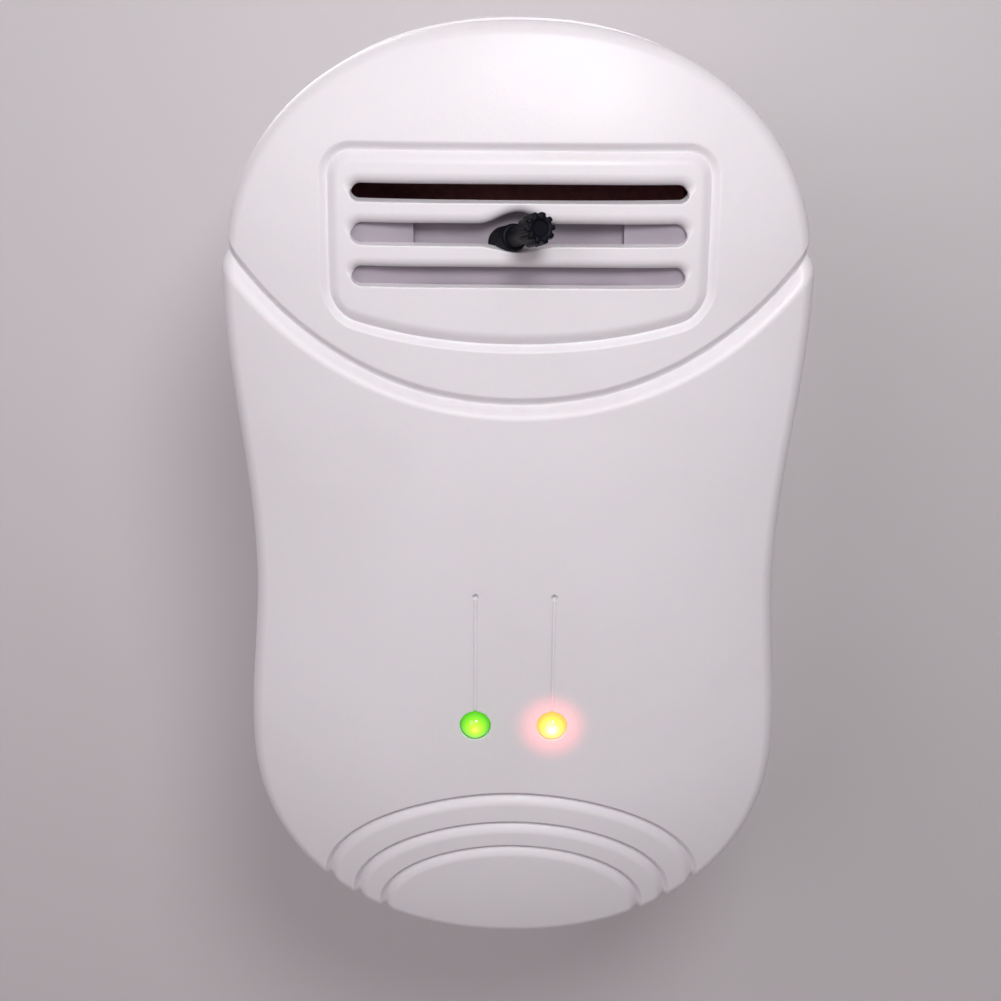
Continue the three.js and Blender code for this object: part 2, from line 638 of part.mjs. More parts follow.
// A part with a round body that lies across the board on its two bent leads.
function axialPart(radius, length, reach) {
  const level = -radius - 0.3;
  const body = turned([
    [0, -length / 2],
    [radius * 0.8, -length / 2],
    [radius, -length / 2 + 0.3],
    [radius, length / 2 - 0.3],
    [radius * 0.8, length / 2],
    [0, length / 2],
  ], 16).rotate([0, 0, 90]).translate([0, level, 0]);
  const lead = wire([
    [-reach, 0, 0],
    [-reach, level * 0.7, 0],
    [-reach + 0.5, level, 0],
    [reach - 0.5, level, 0],
    [reach, level * 0.7, 0],
    [reach, 0, 0],
  ], 0.3, 24, 6);
  return body.add(lead);
}

function timerChip() {
  let chip = box(6.4, -3.6, -0.5, 9.6);
  for (const side of bothSides)
    for (let i = 0; i < 4; i++) {
      const z = (i - 1.5) * CHIP_LEG_PITCH;
      chip = chip.add(box(0.9, -2.2, -1.9, 1.1, side * 3.6, z)).add(box(0.3, -2.2, 0, 0.7, side * 3.9, z));
    }
  return chip.subtract(bar(0.8, -FAR, -3.3, 0, 4.6, 16));
}

function transistor() {
  const shape = new THREE.Shape();
  shape.absarc(0, 0, 2.3, Math.PI * 0.2, Math.PI * 1.8);
  return prism(shape, -6.6, -2).add(each([-1.27, 0, 1.27], (z) => box(0.45, -2.5, 0, 0.45, 0, z)));
}

function fuse() {
  return turned([[0, -8], [3.6, -8], [4.2, -7.4], [4.2, 0], [0, 0]]);
}

// ---- Trimmer: body and leaning shaft, drawn along -Y from the point where the shaft meets the cover ----
function trimmerBody() {
  const shell = box(TRIMMER_WIDTH, TRIMMER_BEHIND_COVER, TRIMMER_BACK, TRIMMER_HEIGHT);
  const collar = bar(SHAFT_RADIUS + ROTOR_GAP + 1, TRIMMER_BEHIND_COVER - TRIMMER_COLLAR, ROTOR_FRONT);
  const cavity = bar(ROTOR_RADIUS + ROTOR_GAP, ROTOR_FRONT - ROTOR_GAP, ROTOR_BACK + ROTOR_GAP);
  const mouth = bar(SHAFT_RADIUS + ROTOR_GAP, -FAR, ROTOR_FRONT);
  const wiperSlot = box(ROTOR_RADIUS, ROTOR_BACK, FAR, ROTOR_RADIUS / 2);
  return cutAway(shell.add(collar), [cavity, mouth, wiperSlot]);
}

function splinedHead(y0, y1) {
  const star = new THREE.Shape();
  for (let i = 0; i < 2 * SPLINE_TEETH; i++) {
    const angle = (Math.PI * (i + 0.5)) / SPLINE_TEETH;
    const radius = i % 2 ? SPLINE_RADIUS - SPLINE_DEPTH : SPLINE_RADIUS;
    for (const turn of [-TOOTH_FLAT, TOOTH_FLAT]) {
      const [x, z] = [radius * Math.cos(angle + turn), radius * Math.sin(angle + turn)];
      if (i || turn > 0) star.lineTo(x, z);
      else star.moveTo(x, z);
    }
  }
  return prism(star, y0, y1);
}

function trimmerShaft() {
  const tip = -SHAFT_PROUD;
  const baseEnd = TRIMMER_BEHIND_COVER - TRIMMER_COLLAR - GAP;
  const stem = turned([
    [0, tip + SHAFT_CHAMFER],
    [SHAFT_RADIUS, tip + SHAFT_CHAMFER],
    [SHAFT_RADIUS, -SHAFT_BASE_PROUD],
    [SHAFT_BASE_RADIUS - SHAFT_CHAMFER, -SHAFT_BASE_PROUD],
    [SHAFT_BASE_RADIUS, -SHAFT_BASE_PROUD + SHAFT_CHAMFER],
    [SHAFT_BASE_RADIUS, baseEnd],
    [SHAFT_RADIUS, baseEnd],
    [SHAFT_RADIUS, ROTOR_FRONT],
    [ROTOR_RADIUS, ROTOR_FRONT],
    [ROTOR_RADIUS, ROTOR_BACK],
    [0, ROTOR_BACK],
  ]);
  return stem.add(splinedHead(tip, tip + SPLINE_LENGTH));
}

// Turns what is drawn on the shaft's own axis into its leaning place in the case.
const LEAN = new THREE.Quaternion().setFromUnitVectors(
  new THREE.Vector3(0, -1, 0),
  new THREE.Vector3(
    Math.tan(THREE.MathUtils.degToRad(TRIMMER_LEAN_RIGHT)),
    -1,
    Math.tan(THREE.MathUtils.degToRad(TRIMMER_LEAN_UP)),
  ).normalize(),
);
const TRIMMER_PLACE = new THREE.Matrix4().compose(
  new THREE.Vector3(TRIMMER_X, INSIDE_Y, TRIMMER_LEVEL),
  LEAN,
  new THREE.Vector3(1, 1, 1),
);
const leaning = (made) => made.transform(TRIMMER_PLACE.elements);

// ---- Inner plate behind the lower slots ----
function grillePlate() {
  const width = 2 * (SLOT_HALF_LENGTH + PLATE_OVERHANG);
  const middle = TOP - PLATE_TOP_DROP - PLATE_HEIGHT / 2;
  const shape = roundedRect(width, PLATE_HEIGHT, PLATE_CORNER, 0, middle);
  const plate = prism(shape, PLATE_FRONT_Y, PLATE_FRONT_Y + PLATE_THICKNESS);
  const pocketFloor = PLATE_FRONT_Y + POCKET_DEPTH;
  const { drop, height } = SLOTS[1];
  const pocket = box(2 * POCKET_HALF_WIDTH, -FAR, pocketFloor, 2 * height, 0, TOP - drop);
  const bossRoom = each(fourCaseScrews, ([x, z]) => bar(TOWER_RADIUS + GAP, -FAR, FAR, x, z));
  const shaftHole = leaning(bar(SHAFT_BASE_RADIUS + SHAFT_PLAY, -SHAFT_PROUD, TRIMMER_BACK));
  const pegHole = bar(PEG_RADIUS + SCREW_PLAY, -FAR, FAR, 0, PEG_LEVEL, 16);
  const pegHoles = each(bothSides, (side) => pegHole.translate([side * PEG_X, 0, 0]));
  const room = domed(WALL + GAP, WALL + GAP, BOARD_FRONT);
  return cutAway(plate.intersect(room), [pocket, shaftHole, pegHoles, bossRoom]);
}

// ---- Transducer ----
function transducerCase() {
  const can = bar(TRANSDUCER_RADIUS, -TRANSDUCER_HEIGHT, 0, 0, 0, 32);
  return can.subtract(bar(TRANSDUCER_RADIUS - 0.5, -TRANSDUCER_HEIGHT - 1, -1.2, 0, 0, 32));
}

function transducerDisc() {
  return turned([
    [0, -3.4],
    [0.8, -3.4],
    [TRANSDUCER_RADIUS - 1.4, -5.2],
    [TRANSDUCER_RADIUS - 1.2, -5],
    [1.2, -2.9],
    [TRANSDUCER_RADIUS - 1.3, -2.8],
    [TRANSDUCER_RADIUS - 1.3, -1.5],
    [0, -1.5],
  ]);
}

// ---- Plug ----
function plugPin() {
  const profile = [
    [0, PIN_TAIL_Y],
    [PIN_CORE_RADIUS, PIN_TAIL_Y],
    [PIN_CORE_RADIUS, PIN_FLANGE_Y - PIN_FLANGE_THICKNESS],
    [PIN_FLANGE_RADIUS, PIN_FLANGE_Y - PIN_FLANGE_THICKNESS],
    [PIN_FLANGE_RADIUS, PIN_FLANGE_Y],
    [PIN_CORE_RADIUS, PIN_FLANGE_Y],
    [PIN_CORE_RADIUS, SLEEVE_LENGTH + GAP],
    [PIN_RADIUS, SLEEVE_LENGTH + GAP],
  ];
  for (let i = 0; i <= 5; i++) {
    const angle = (Math.PI / 2) * (i / 5);
    profile.push([PIN_RADIUS * Math.cos(angle), PIN_LENGTH - PIN_RADIUS + PIN_RADIUS * Math.sin(angle)]);
  }
  profile.at(-1)[0] = 0;
  return turned(profile, 24);
}

function pinSleeve() {
  const inner = bar(PIN_CORE_RADIUS + SLEEVE_GAP, -FAR, FAR, 0, 0, 24);
  return bar(PIN_RADIUS, -WALL + GAP, SLEEVE_LENGTH, 0, 0, 24).subtract(inner);
}

function pinClamp() {
  const width = PIN_SPACING + 2 * PIN_FLANGE_RADIUS + 1;
  const shape = roundedRect(width, 2 * PIN_FLANGE_RADIUS + 1, PIN_FLANGE_RADIUS, 0, PIN_RISE);
  const pinHoles = each(bothSides, (side) =>
    bar(PIN_CORE_RADIUS + GAP, -FAR, FAR, (side * PIN_SPACING) / 2, PIN_RISE),
  );
  const screwHoles = each(bothSides, (side) =>
    bar(CLAMP_SCREW_RADIUS + SCREW_PLAY, -FAR, FAR, (side * CLAMP_SCREW_SPACING) / 2, PIN_RISE, 12),
  );
  return cutAway(prism(shape, CLAMP_FRONT_Y, CLAMP_BACK_Y), [pinHoles, screwHoles]);
}

// From the pin's tail, in an S bend down to the back of the board.
function mainsWire(side) {
  const start = (side * PIN_SPACING) / 2;
  const end = start + side * MAINS_WIRE_SPREAD;
  const startY = PIN_TAIL_Y - GAP;
  const endY = BOARD_BACK + GAP;
  const foot = PIN_RISE - MAINS_WIRE_FALL;
  return wire([
    [start, startY, PIN_RISE],
    [start, startY - MAINS_WIRE_RADIUS * 1.6, PIN_RISE - MAINS_WIRE_FALL * 0.05],
    [end, (startY + endY) / 2, PIN_RISE - MAINS_WIRE_FALL / 2],
    [end, endY + MAINS_WIRE_RADIUS * 2, foot + MAINS_WIRE_FALL * 0.05],
    [end, endY, foot],
  ], MAINS_WIRE_RADIUS, 14);
}

// ---- Colours and finishes ----
const material = (color, roughness, metalness = 0, extra = {}) =>
  new THREE.MeshStandardMaterial({ color, roughness, metalness, ...extra });
const FINISH = {
  case: () => material(0xece8ea, 0.5),
  plate: () => material(0xd9d0da, 0.55),
  board: () => material(0x6b3a28, 0.6),
  black: () => material(0x121214, 0.45),
  steel: () => material(0xb9b9ba, 0.3, 1),
  brass: () => material(0xcdc6b4, 0.25, 1),
  yellow: () => material(0xd9a520, 0.4),
  blue: () => material(0x2b4a86, 0.35),
  cream: () => material(0xcbb48c, 0.5),
  brown: () => material(0x6a4630, 0.5),
  green: () => material(0x55d81c, 0.2, 0, { emissive: 0x55c814 }),
  red: () => material(0xff6a3c, 0.2, 0, { emissive: 0xff4020 }),
  label: () => material(0xf2f2f2, 0.6),
};

// ---- Assembly ----
const root = new THREE.Group();
const caseGroup = new THREE.Group();
caseGroup.position.z = -PIN_RISE;
root.add(caseGroup);

function place(name, made, finish, parent = caseGroup, position = [0, 0, 0]) {
  const mesh = new THREE.Mesh(geometryOf(made), FINISH[finish]());
  mesh.name = name;
  mesh.position.set(...position);
  parent.add(mesh);
}

function placeCovers() {
  place("front_cover", frontCover(), "case");
  place("rear_cover", rearCover(), "case");
  place("rating_label", ratingLabel(), "label");
  fourCaseScrews.forEach(([x, z], i) => {
    const length = CASE_SCREW_SHOULDER_Y - CASE_SCREW_TIP_Y + GAP;
    const made = screw(CASE_SCREW_RADIUS, CASE_SCREW_HEAD_RADIUS, CASE_SCREW_HEAD, length);
    place(`case_screw_${i + 1}`, made, "steel", caseGroup, [x, CASE_SCREW_SHOULDER_Y + GAP, z]);
  });
}

function placePlug() {
  const plug = new THREE.Group();
  root.add(plug);
  bothSides.forEach((side) => {
    const name = side < 0 ? "left" : "right";
    const x = (side * PIN_SPACING) / 2;
    place(`plug_pin_${name}`, plugPin(), "brass", plug, [x, 0, 0]);
    place(`pin_sleeve_${name}`, pinSleeve(), "black", plug, [x, 0, 0]);
    place(`mains_wire_${name}`, mainsWire(side), "brown");
    const clampScrew = screw(CLAMP_SCREW_RADIUS, CLAMP_SCREW_HEAD_RADIUS, CLAMP_SCREW_HEAD, CLAMP_SCREW_LENGTH);
    const at = [(side * CLAMP_SCREW_SPACING) / 2, CLAMP_FRONT_Y - GAP, 0];
    place(`clamp_screw_${name}`, clampScrew.rotate([180, 0, 0]), "steel", plug, at);
  });
  place("pin_clamp", pinClamp(), "plate");
}

function placeLamps() {
  const tipY = CROWN_Y - LED_PROUD;
  const footY = tipY + LED_HEIGHT;
  for (const [name, side] of [["green", -1], ["red", 1]]) {
    const x = (side * LED_SPACING) / 2;
    place(`${name}_led`, lamp(), name, caseGroup, [x, footY, LED_LEVEL]);
    const spacer = bar(LED_SPACER_RADIUS, footY + GAP, BOARD_FRONT - GAP, x, LED_LEVEL);
    place(`${name}_led_spacer`, spacer, "black");
  }
}

function placeTrimmer() {
  const adjuster = new THREE.Group();
  adjuster.applyMatrix4(TRIMMER_PLACE);
  caseGroup.add(adjuster);
  place("trimmer_body", trimmerBody(), "black", adjuster);
  place("trimmer_shaft", trimmerShaft(), "black", adjuster);
  [-1, 0, 1].forEach((step, i) => {
    const top = new THREE.Vector3(step * TRIMMER_LEG_PITCH, TRIMMER_BACK + GAP, -TRIMMER_HEIGHT / 2);
    top.applyMatrix4(TRIMMER_PLACE);
    const foot = new THREE.Vector3(top.x + 1, BOARD_FRONT - GAP, top.z - 1);
    const bend = top.clone().lerp(foot, 0.5).add(new THREE.Vector3(0, 0, -TRIMMER_LEG_RADIUS));
    const points = [top, bend, foot].map((point) => point.toArray());
    place(`trimmer_leg_${i + 1}`, wire(points, TRIMMER_LEG_RADIUS, 8, 6), "steel");
  });
}

function placeBoard() {
  place("circuit_board", circuitBoard(), "board");
  place("grille_plate", grillePlate(), "plate");
  const stand = BOARD_FRONT - GAP;
  const on = (name, made, finish, x, z) => place(name, made, finish, caseGroup, [x, stand, z]);
  on("transducer_case", transducerCase(), "steel", 0, TOP - TRANSDUCER_DROP);
  on("transducer_disc", transducerDisc(), "brass", 0, TOP - TRANSDUCER_DROP);
  on("film_capacitor", prism(roundedRect(7, 17, 0.8), -11, -0.2), "yellow", -9, 7);
  on("smoothing_capacitor", electrolytic(4, 11), "blue", 4.5, 9);
  on("timing_capacitor", electrolytic(2.5, 9), "black", 13.5, 10);
  on("timer_chip", timerChip(), "black", -12, LED_LEVEL - 7.7);
  on("transistor", transistor(), "black", 12.5, LED_LEVEL + 3.4);
  on("fuse", fuse(), "brown", -17, LED_LEVEL + 3.9);
  for (let i = 0; i < DIODES; i++)
    on(`rectifier_diode_${i + 1}`, axialPart(1.3, 5, 4.2), "black", 5, 1 - i * DIODE_PITCH);
  for (let i = 0; i < RESISTORS; i++)
    on(`resistor_${i + 1}`, axialPart(1.1, 6, 4.5), "cream", 1.5, LED_LEVEL - 6.6 - i * RESISTOR_PITCH);
  for (const side of bothSides) {
    const name = side < 0 ? "left" : "right";
    const made = screw(BOARD_SCREW_RADIUS, BOARD_SCREW_HEAD_RADIUS, BOARD_SCREW_HEAD, BOARD_SCREW_LENGTH);
    const at = [side * BOARD_SCREW_X, stand, BOARD_SCREW_LEVEL];
    place(`board_screw_${name}`, made.rotate([180, 0, 0]), "steel", caseGroup, at);
  }
}

placeCovers();
placePlug();
placeLamps();
placeTrimmer();
placeBoard();

export default root;
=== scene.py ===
import math

import bpy
import numpy as np
from mathutils import Matrix, Vector
from mathutils.geometry import delaunay_2d_cdt
from mathutils.kdtree import KDTree
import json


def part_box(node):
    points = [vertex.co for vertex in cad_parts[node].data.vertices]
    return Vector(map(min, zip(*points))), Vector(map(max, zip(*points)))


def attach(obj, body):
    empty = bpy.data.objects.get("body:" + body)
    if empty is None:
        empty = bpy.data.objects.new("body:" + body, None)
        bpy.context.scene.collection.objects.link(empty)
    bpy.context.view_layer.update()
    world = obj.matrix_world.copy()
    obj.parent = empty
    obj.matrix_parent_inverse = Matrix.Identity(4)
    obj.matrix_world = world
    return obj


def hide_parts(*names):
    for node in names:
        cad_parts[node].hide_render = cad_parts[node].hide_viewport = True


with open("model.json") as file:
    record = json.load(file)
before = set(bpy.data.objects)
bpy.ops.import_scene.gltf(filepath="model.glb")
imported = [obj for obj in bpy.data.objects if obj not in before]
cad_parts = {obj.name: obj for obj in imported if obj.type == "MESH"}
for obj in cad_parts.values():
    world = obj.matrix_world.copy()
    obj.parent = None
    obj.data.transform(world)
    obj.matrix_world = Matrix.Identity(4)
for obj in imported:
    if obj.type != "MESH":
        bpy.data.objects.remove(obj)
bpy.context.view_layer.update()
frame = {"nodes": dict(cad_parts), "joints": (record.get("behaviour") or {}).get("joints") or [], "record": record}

# Lengths below are in millimetres, and heights are measured from the middle of the case.
# Pieces are drawn that way and put into the row frame, in metres, at the end.
MM = 0.001
cover_low, cover_high = (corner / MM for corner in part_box("front_cover"))
rear_low, rear_high = (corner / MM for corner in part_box("rear_cover"))
CASE_MIDDLE = (rear_low.z + rear_high.z) / 2  # of the case, in the row frame
CROWN_Y = cover_low.y
SEAM_Y = cover_high.y

# ---- Case outline and face ----
EDGE_ROUND = 1.3
EDGE_RISE = 1.3
PILLOW_REACH = 20.0
PILLOW_RISE = 3.8
RIM_Y = CROWN_Y + EDGE_RISE + PILLOW_RISE
WALL = 2.0
REAR_ROUND = 2.4
SEAM_GAP = 0.15
TAPER = 1.0  # how much the rear face is smaller all round than the front rim


def taper(y):
    """How much the outline has drawn in at a depth, on its way from the front rim to the rear face."""
    return TAPER * (y - RIM_Y) / -RIM_Y


TOP = CASE_MIDDLE - cover_low.z
UPPER_HALF = 28.0
LOWER_HALF = 27.35
WAIST_HALF = 26.1
LOBE_FROM_END = 24.25
WAIST = -4.0
TOP_SQUARENESS = 2.18
BOTTOM_SQUARENESS = 2.14
UPPER_LOBE = TOP - LOBE_FROM_END
LOWER_LOBE = LOBE_FROM_END - TOP

# ---- Marks in the face: circles are given as (radius, centre height) ----
LENS_DEPTH = 0.4
LENS_ARC = (34.4, 47.71)
GROOVE_DEPTH = 1.08
RIM_SHARE = 0.64  # how deep a mark still is where it runs off the edge
RIM_FADE = 2.2  # how far inside the edge a mark has its full depth
GROOVE_WALL = 1.0  # width of its side towards the lens
GROOVE_RAMP = 1.25  # width of its side towards the body
# Half width, height and foot level of each groove at the bottom.
ARC_GROOVES = [(19.75, 12.1, -40.75), (16.7, 10.37, -42.5), (13.87, 8.82, -44.0)]
ARC_GROOVE_DEPTH = 0.68
ARC_GROOVE_WALL = 0.55
ARC_GROOVE_RAMP = 1.05
FRAME_HALF_WIDTH = 17.7
FRAME_TOP = 37.05
FRAME_ARC = (59.06, 78.34)  # its bottom side
FRAME_CORNER = 2.4
FRAME_DEPTH = 0.6
FRAME_WALL = 0.8
FRAME_RAMP = 1.15
SLOT_HALF_LENGTH = 15.5
SLOTS = [(33.27, 0.84), (29.52, 1.0), (25.59, 0.89)]  # level, half width
SLOT_LIP = 1.0  # rounding of each slot's upper edge
SLOT_EDGE = 0.14  # rounding of its lower edge
EYE_RISE = 1.1
EYE_FALL = 0.56
EYE_HALF = 3.7
EYE_X = -0.05
LAMP_X = 3.9
LAMP_LEVEL = -20.35
LAMP_HOLE = 1.56
LAMP_LIP = 0.16
PIT_LEVEL = -6.1
PIT_RADIUS = 0.4
PIT_DEPTH = 0.5
LINE_HALF = 0.26
LINE_DEPTH = 0.22

# ---- Fineness of the cover's mesh: spacing of its points, and how far they stay from the lines ----
FACE_SPACING, FACE_CLEARANCE = 1.0, 0.42
BACK_SPACING, BACK_CLEARANCE = 2.5, 1.0


# ---- Numbers for the case's form ----
def outline(count):
    """The case seen from the front: even points, clockwise from the top, and their outward normals."""
    quarter = np.linspace(np.pi / 2, 0, 900)[:-1]
    upper = np.stack([
        UPPER_HALF * np.abs(np.cos(quarter)) ** (2 / TOP_SQUARENESS),
        UPPER_LOBE + LOBE_FROM_END * np.sin(quarter) ** (2 / TOP_SQUARENESS),
    ], 1)
    z = np.linspace(UPPER_LOBE, LOWER_LOBE, 900)[:-1]
    share = np.where(z > WAIST, (z - WAIST) / (UPPER_LOBE - WAIST), (z - WAIST) / (LOWER_LOBE - WAIST))
    lobe = np.where(z > WAIST, UPPER_HALF, LOWER_HALF)
    side = np.stack([WAIST_HALF + (lobe - WAIST_HALF) * (1 - np.cos(np.pi * share)) / 2, z], 1)
    quarter = np.linspace(0, np.pi / 2, 900)
    lower = np.stack([
        LOWER_HALF * np.abs(np.cos(quarter)) ** (2 / BOTTOM_SQUARENESS),
        LOWER_LOBE - LOBE_FROM_END * np.sin(quarter) ** (2 / BOTTOM_SQUARENESS),
    ], 1)
    right = np.concatenate([upper, side, lower])
    whole = np.concatenate([right, right[-2:0:-1] * [-1, 1]])
    ahead = np.roll(whole, -1, 0)
    along = np.concatenate([[0], np.cumsum(np.hypot(*(ahead - whole).T))])
    closed = np.concatenate([whole, whole[:1]])
    places = np.arange(count) * along[-1] / count
    points = np.stack([np.interp(places, along, closed[:, k]) for k in (0, 1)], 1)
    tangent = np.roll(points, -1, 0) - np.roll(points, 1, 0)
    normals = np.stack([-tangent[:, 1], tangent[:, 0]], 1)
    return points, normals / np.linalg.norm(normals, axis=1)[:, None]


EDGE, EDGE_NORMALS = outline(360)


def inset_ring(inset):
    return EDGE - inset * EDGE_NORMALS


def edge_distance(points):
    """How far each point lies inside the outline, below 0 outside it, and the outward direction there."""
    start, step = EDGE, np.roll(EDGE, -1, 0) - EDGE
    squared = (step**2).sum(1)
    distances, outwards = [], []
    for part in np.array_split(points, max(1, len(points) // 2000)):
        away = part[:, None, :] - start
        share = np.clip((away * step).sum(2) / squared, 0, 1)
        gap = away - share[..., None] * step
        length = np.hypot(gap[..., 0], gap[..., 1])
        nearest = length.argmin(1)
        rows = np.arange(len(part))
        beyond = (gap[rows, nearest] * EDGE_NORMALS[nearest]).sum(1) > 0
        distances.append(length[rows, nearest] * np.where(beyond, -1, 1))
        blend = share[rows, nearest][:, None]
        after = (nearest + 1) % len(EDGE)
        outward = EDGE_NORMALS[nearest] * (1 - blend) + EDGE_NORMALS[after] * blend
        outwards.append(outward / np.linalg.norm(outward, axis=1)[:, None])
    return np.concatenate(distances), np.concatenate(outwards)


def face_rise(distance):
    edge = 1 - np.clip(distance / EDGE_ROUND, 0, 1)
    pillow = 1 - np.clip(distance / PILLOW_REACH, 0, 1)
    return EDGE_RISE * np.sqrt(1 - edge**2) + PILLOW_RISE * (1 - pillow**2)


def face_slope(distance):
    edge = 1 - np.clip(distance / EDGE_ROUND, 1e-5, 1)
    pillow = 1 - np.clip(distance / PILLOW_REACH, 0, 1)
    return EDGE_RISE / EDGE_ROUND * edge / np.sqrt(1 - edge**2) + 2 * PILLOW_RISE / PILLOW_REACH * pillow


def ease(share):
    share = np.clip(share, 0, 1)
    return share * share * (3 - 2 * share)


# ---- Depth of the marks ----
def groove_depth(across, wall, ramp, near, depth, far=0.0):
    """Depth across a groove: level near, a steep wall that ends at 0, then a ramp that fades out to far."""
    down = near + (depth - near) * ease(1 + across / wall)
    up = far + (depth - far) * np.clip(1 - across / ramp, 0, 1) ** 1.7
    return np.where(across < 0, down, up)


def arc_offset(points, arc):
    """Distance outside a circle centred on the case's middle line."""
    radius, centre = arc
    return np.hypot(points[:, 0], points[:, 1] - centre) - radius


def ellipse_offset(points, ellipse):
    """Distance outside the upper half of an ellipse whose sides run straight down from its foot level."""
    half_width, height, foot = ellipse
    x, z = points[:, 0], np.maximum(points[:, 1] - foot, 0)
    share = np.maximum(np.hypot(x / half_width, z / height), 1e-6)
    return (share - 1) * share / np.maximum(np.hypot(x / half_width**2, z / height**2), 1e-6)


def frame_offset(points):
    """Distance outside the frame's line: a rounded rectangle whose bottom side is an arc."""
    x, z = np.abs(points[:, 0]), points[:, 1]
    radius, centre = FRAME_ARC
    side = x - (FRAME_HALF_WIDTH - FRAME_CORNER)
    top = z - (FRAME_TOP - FRAME_CORNER)
    bottom = np.hypot(x, z - centre) - (radius - FRAME_CORNER)
    upper = np.hypot(np.maximum(side, 0), np.maximum(top, 0)) + np.minimum(np.maximum(side, top), 0)
    lower = np.hypot(np.maximum(side, 0), np.maximum(bottom, 0)) + np.minimum(np.maximum(side, bottom), 0)
    return np.maximum(upper, lower) - FRAME_CORNER


def eye_bulge(x, upwards):
    swell = np.cos(np.pi / 2 * np.clip((x - EYE_X) / EYE_HALF, -1, 1)) ** 2
    return np.where(upwards, EYE_RISE, EYE_FALL) * swell


def slot_offset(points, index):
    """Distance outside a slot, and the rounding of its edge there."""
    level, half = SLOTS[index]
    x, z = points[:, 0], points[:, 1] - level
    reach = SLOT_HALF_LENGTH - half
    aside = x - np.clip(x, -reach, reach)
    length = np.maximum(np.hypot(aside, z), 1e-9)
    bulge = eye_bulge(x, z > 0) if index == 1 else 0
    rounding = SLOT_EDGE + (SLOT_LIP - SLOT_EDGE) * ease((z / length + 0.25) / 0.9)
    return length - half - bulge, rounding


def lip_depth(outside, rounding):
    """Depth of an edge rounded off towards a hole."""
    share = np.clip(1 - outside / rounding, 0, 1)
    return rounding * (1 - np.sqrt(1 - share**2))


def lamp_offsets(points):
    return [np.hypot(points[:, 0] - side * LAMP_X, points[:, 1] - LAMP_LEVEL) for side in (-1, 1)]


def mark_depth(points):
    """How deep the face lies below its plain form."""
    lens = arc_offset(points, LENS_ARC)
    depth = groove_depth(lens, GROOVE_WALL, GROOVE_RAMP, LENS_DEPTH, GROOVE_DEPTH)
    for ellipse in ARC_GROOVES:
        inside = -ellipse_offset(points, ellipse)
        depth += groove_depth(inside, ARC_GROOVE_WALL, ARC_GROOVE_RAMP, 0, ARC_GROOVE_DEPTH)
    depth += groove_depth(-frame_offset(points), FRAME_WALL, FRAME_RAMP, 0, FRAME_DEPTH)
    for index in range(len(SLOTS)):
        depth += lip_depth(*slot_offset(points, index))
    for side, radius in zip((-1, 1), lamp_offsets(points)):
        depth += lip_depth(radius - LAMP_HOLE, LAMP_LIP)
        across = np.abs(points[:, 0] - side * LAMP_X) / LINE_HALF
        within = (points[:, 1] < PIT_LEVEL) & (points[:, 1] > LAMP_LEVEL)
        depth += LINE_DEPTH * np.where(within, 1 - ease(across), 0)
        pit = np.hypot(points[:, 0] - side * LAMP_X, points[:, 1] - PIT_LEVEL) / PIT_RADIUS
        depth += PIT_DEPTH * (1 - ease(pit))
    return depth


def face_points(points, inset, drop):
    """Places and normals on the face moved in by inset and back by drop. Only with no inset does it have marks."""
    distance, outward = edge_distance(points)
    inside = np.maximum(distance - inset, 0)
    slope = face_slope(inside)
    normals = np.stack([outward[:, 0] * slope, -np.ones(len(points)), outward[:, 1] * slope], 1)
    normals /= np.linalg.norm(normals, axis=1)[:, None]
    normals[inside < 1e-4] = np.stack([outward[:, 0], 0 * slope, outward[:, 1]], 1)[inside < 1e-4]
    places = np.stack([points[:, 0], RIM_Y + drop - face_rise(inside), points[:, 1]], 1)
    if inset:
        return places, normals
    return marked(points, places, normals, RIM_SHARE + (1 - RIM_SHARE) * ease(distance / RIM_FADE))


def marked(points, places, normals, share):
    """Sinks places along their normals by a share of the marks' depth, and leans the normals to match."""
    step = 0.02
    slopes = [
        share * (mark_depth(points + move) - mark_depth(points - move)) / (2 * step)
        for move in (np.array([step, 0]), np.array([0, step]))
    ]
    lean = np.stack([slopes[0], 0 * slopes[0], slopes[1]], 1)
    lean -= (lean * normals).sum(1)[:, None] * normals
    leaned = normals + lean
    leaned /= np.linalg.norm(leaned, axis=1)[:, None]
    return places - (share * mark_depth(points))[:, None] * normals, leaned


# ---- Lines that the face's mesh follows ----
def lens_line(offset):
    """Points along the lens's lower edge moved outwards by offset, past both sides of the case."""
    radius = LENS_ARC[0] + offset
    reach = math.asin(30.5 / radius)
    angles = np.linspace(-reach, reach, int(2 * reach * radius / 0.6))
    return np.stack([radius * np.sin(angles), LENS_ARC[1] - radius * np.cos(angles)], 1)


def ellipse_line(ellipse, offset):
    """Points along a groove at the bottom, moved outwards by offset, with straight ends past the case."""
    half_width, height, foot = ellipse
    angles = np.linspace(-np.pi / 2, np.pi / 2, int(3.4 * half_width / 0.6))
    line = np.stack([half_width * np.sin(angles), height * np.cos(angles)], 1)
    normal = line / [half_width**2, height**2]
    line += offset * normal / np.linalg.norm(normal, axis=1)[:, None]
    down = np.stack([np.full(8, line[-1][0]), -np.linspace(0.6, 5, 8)], 1)
    return np.concatenate([down[::-1] * [-1, 1], line, down]) + [0, foot]


